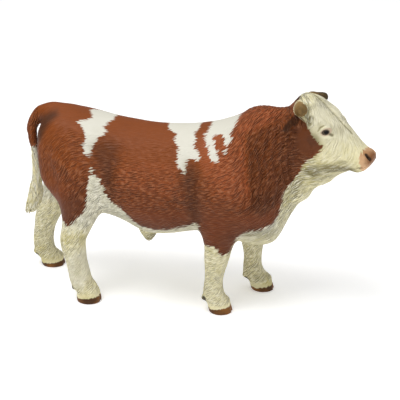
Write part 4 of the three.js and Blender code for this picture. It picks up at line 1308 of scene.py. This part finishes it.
def strands_along_a_path():
    tree = bpy.data.node_groups.new("strands_along_a_path", "GeometryNodeTree")
    face = tree.interface
    face.new_socket("Geometry", in_out="INPUT", socket_type="NodeSocketGeometry")
    for title, kind in (("Strands", "Int"), ("Strand radius", "Float"), ("Girth", "Float"),
                        ("Wave", "Float"), ("Seed", "Int"), ("Paint", "Material")):
        face.new_socket(title, in_out="INPUT", socket_type="NodeSocket" + kind)
    face.new_socket("Geometry", in_out="OUTPUT", socket_type="NodeSocketGeometry")
    given = node(tree, "NodeGroupInput").outputs
    path = node(tree, "GeometryNodeResampleCurve", {"Curve": given["Geometry"], "Count": 30})
    copies = node(tree, "GeometryNodeDuplicateElements", {"Geometry": path, "Amount": given["Strands"]},
                  domain="SPLINE")
    number = copies.outputs[1]

    def random_of(low, high, salt):
        seed = node(tree, "Math", [given["Seed"], float(salt)])
        return node(tree, "FunctionNodeRandomValue",
                    {"ID": number, "Seed": seed, 2: low, 3: high}).outputs[1]

    kept = node(tree, "GeometryNodeTrimCurve", {
        "Curve": copies, "Start": random_of(0.0, 0.3, 1), "End": random_of(0.84, 1.0, 2)})
    way = node(tree, "GeometryNodeSplineParameter").outputs["Factor"]
    angle = node(tree, "Math", [number, GOLDEN_ANGLE, random_of(-0.2, 0.2, 3)], operation="MULTIPLY_ADD")
    girth = node(tree, "FloatCurve", {"Value": way})
    points = girth.mapping.curves[0].points
    points[0].location, points[1].location = (0.0, 0.45), (1.0, 0.3)
    for at, share in ((0.25, 0.42), (0.5, 0.6), (0.75, 0.92), (0.9, 0.85)):
        points.new(at, share)
    out = node(tree, "Math", [girth, given["Girth"]], operation="MULTIPLY")
    waves = node(tree, "Math", [way, 15.0, random_of(0.0, 6.28, 4)], operation="MULTIPLY_ADD")
    swing = node(tree, "Math", [waves], operation="SINE")
    turn = node(tree, "Math", [swing, given["Wave"], angle], operation="MULTIPLY_ADD")
    round_the_path = [node(tree, "Math", [node(tree, "Math", [turn], operation=part), out],
                           operation="MULTIPLY") for part in ("COSINE", "SINE")]
    moved = node(tree, "GeometryNodeSetPosition", {
        "Geometry": kept, "Offset": node(tree, "CombineXYZ", round_the_path)})
    swelling = node(tree, "Math", [way, 2.9, 0.15], operation="MULTIPLY_ADD")
    swelling = node(tree, "Math", [swelling], operation="SINE")
    taper = node(tree, "Math", [swelling, 0.6], operation="POWER")
    radius = node(tree, "Math", [taper, given["Strand radius"]], operation="MULTIPLY")
    thick = node(tree, "GeometryNodeSetCurveRadius", {"Curve": moved, "Radius": radius})
    section = node(tree, "GeometryNodeCurvePrimitiveCircle", {"Resolution": 6, "Radius": 1.0})
    tube = node(tree, "GeometryNodeCurveToMesh", {
        "Curve": thick, "Profile Curve": section, "Fill Caps": True})
    if "Scale" in tube.inputs:  # where the section has a size of its own
        tree.links.new(radius.outputs[0], tube.inputs["Scale"])
    plain = node(tree, "GeometryNodeRealizeInstances", [tube])
    node(tree, "NodeGroupOutput", [
        node(tree, "GeometryNodeSetMaterial", {"Geometry": plain, "Material": given["Paint"]})])
    return tree


switch_tree = strands_along_a_path()
print("the tree has", len(switch_tree.nodes), "nodes")

# %% [markdown]
# The path is the bone of the tail, as a row of points. The modifier takes its sizes by name, the
# grown hair becomes a plain mesh, and the path is taken away again. It gets the marks of cream
# hair, with the strands of the shader running down the tail.

# %% Grow the switch
def grown_switch(path_points, sizes):
    curve = bpy.data.curves.new("tail_path", "CURVE")
    curve.dimensions = "3D"
    spline = curve.splines.new("POLY")
    spline.points.add(len(path_points) - 1)
    for point, at in zip(spline.points, path_points):
        point.co = (*at, 1)
    path = put_in_scene("tail_path", curve)
    grower = path.modifiers.new("switch", "NODES")
    grower.node_group = switch_tree
    for item in grower.node_group.interface.items_tree:
        if item.in_out == "INPUT" and item.name in sizes:
            grower[item.identifier] = sizes[item.name]
    made = bpy.data.meshes.new_from_object(path.evaluated_get(bpy.context.evaluated_depsgraph_get()))
    bpy.data.objects.remove(path)
    return points_of(made), triangles_of(made)


TAIL_PATH = [(-67.9, 0, 59.5), (-67.3, 0, 56.5), (-66.8, 0, 51), (-66.8, 0, 45), (-67.4, 0, 39.5),
             (-68.5, 0, 35), (-70.0, 0, 31.5), (-71.4, 0, 29.2)]
switch_points, switch_triangles = grown_switch(TAIL_PATH, {
    "Strands": 30, "Strand radius": 0.55, "Girth": 2.9, "Wave": 0.28, "Seed": 7, "Paint": coat_paint})
many = len(switch_points)
switch_shell = (
    switch_points, switch_triangles,
    *(np.tile(three, (many, 1)) for three in (
        [9.0, 0.75, 0.0], [NOT_A_HOOF, NOT_A_HOOF, 0.0], [0.9, 1.0, 0.0])),
    np.stack([switch_points @ [0.5, 0.87, 0], -switch_points[:, 2], np.full(many, 0.7)], axis=1),
    normals_of(switch_points, switch_triangles))
print("switch:", many, "points,", len(switch_triangles), "triangles")

# %% [markdown]
# Every moulding is built and painted. The tail's moulding takes the switch with it. A slot says
# to anyone who repaints the figure which finish a piece has.

# %% Build the mouldings
made_pieces = {}
for name in PIECES:
    made = moulding(name, switch_shell if name == "tail" else None)
    made.data.materials.append(horn_colours if "horn" in name else coat_paint)
    made_pieces[name] = made
print("built", len(made_pieces), "mouldings")

# %% [markdown]
# On the real figure each eye is a drop of black lacquer on the moulded eyeball. Here it is a
# small closed ball that sits between the lids, a piece of its own, so that the lacquer ends in a
# clean rim. The left one is set a third of a millimetre deeper, so that it stays behind the brow.

# %% Eyeballs
EYE = np.array([54.4, 9.4, 77.4])
for side in (RIGHT, LEFT):
    ball = bmesh.new()
    bmesh.ops.create_icosphere(ball, subdivisions=4, radius=1)
    ball_mesh = bpy.data.meshes.new("eyeball")
    ball.to_mesh(ball_mesh)
    ball.free()
    seat = EYE * [1, side, 1] - [0, 0.35 * (side == LEFT), 0]
    round_points = points_of(ball_mesh) * [1.08, 1.35, 0.95] + seat
    ball_mesh.vertices.foreach_set("co", in_metres(turn_head(round_points)).astype(np.float32).ravel())
    ball_mesh.polygons.foreach_set("use_smooth", np.ones(len(ball_mesh.polygons), bool))
    ball_mesh.materials.append(eye_gloss)
    eye = put_in_scene(("right" if side == RIGHT else "left") + "_eye", ball_mesh)
    made_pieces[eye.name] = eye
    print(eye.name, len(ball_mesh.polygons), "triangles")

# %% [markdown]
# Every piece rides on the one stiff body, and stands for the solid that it was made from.

# %% Tell the frame
for name, made in made_pieces.items():
    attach(made, "root")
    if name in PIECES:
        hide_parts(name)
print("told the frame of", len(made_pieces), "pieces")

# %% [markdown]
# The picture: the camera stands where the photographer's did, about 45 cm away with a long
# lens, a little above the back and slightly ahead of the flank. The toy stands on a pale
# sweep under a soft white light from all round: a large lamp above and to the left, a larger
# one overhead and a weak one from the right.
# The view is built from two angles and a distance, round a point in the middle of the figure.

# %% Camera
AZIMUTH, ELEVATION, DISTANCE = math.radians(13.31), math.radians(21.61), 450.0
TARGET = np.array([1.53, 0.0, 41.57])
away = np.array([math.sin(AZIMUTH) * math.cos(ELEVATION), -math.cos(AZIMUTH) * math.cos(ELEVATION),
                 math.sin(ELEVATION)])
to_right = np.array([math.cos(AZIMUTH), math.sin(AZIMUTH), 0])
camera_data = bpy.data.cameras.new("camera")
camera_data.lens, camera_data.sensor_width = 102.26, 36.0
camera_data.clip_start = 0.01
camera = bpy.data.objects.new("camera", camera_data)
bpy.context.scene.collection.objects.link(camera)
axes = np.stack([to_right, np.cross(away, to_right), away], axis=1)
stand = Vector(in_metres(TARGET + away * DISTANCE))
camera.matrix_world = Matrix.Translation(stand) @ Matrix(axes.tolist()).to_4x4()
bpy.context.scene.camera = camera
print("the camera stands at", [round(part, 3) for part in stand])

# %% [markdown]
# The sweep is a matt sheet that glows faintly, so that it stays nearly white where no lamp
# reaches it. Shadows then come out as soft as on a light table.

# %% Floor and light

floor_mesh = bpy.data.meshes.new("floor")
floor_mesh.from_pydata([(-4, -4, 0), (4, -4, 0), (4, 4, 0), (-4, 4, 0)], [], [(0, 1, 2, 3)])
floor = put_in_scene("floor", floor_mesh)
floor_paint, floor_tree = new_material("pale_sweep")
matt = node(floor_tree, "BsdfDiffuse", {"Color": (0.9, 0.9, 0.9, 1)})
glow = node(floor_tree, "Emission", {"Color": (1, 1, 1, 1), "Strength": 0.36})
node(floor_tree, "OutputMaterial", [node(floor_tree, "AddShader", [matt, glow])])
floor_mesh.materials.append(floor_paint)


LOOKED_AT = Vector((0, 0, 0.04))


def lamp(name, size, energy, at):
    data = bpy.data.lights.new(name, "AREA")
    data.size, data.energy = size, energy
    made = bpy.data.objects.new(name, data)
    bpy.context.scene.collection.objects.link(made)
    made.location = at
    made.rotation_euler = (LOOKED_AT - Vector(at)).to_track_quat("-Z", "Y").to_euler()


lamp("key", 0.45, 4.6, (-0.2, -0.3, 0.85))
lamp("overhead", 1.5, 5.0, (0, 0.2, 1.1))
lamp("fill", 0.6, 0.6, (0.6, -0.5, 0.4))
world = bpy.data.worlds.new("studio")
bpy.context.scene.world = world
world.use_nodes = True
background = world.node_tree.nodes["Background"].inputs
background[0].default_value, background[1].default_value = (1, 1, 1, 1), 0.3
bpy.context.scene.view_settings.view_transform = "Standard"
print("three lamps and a pale world")
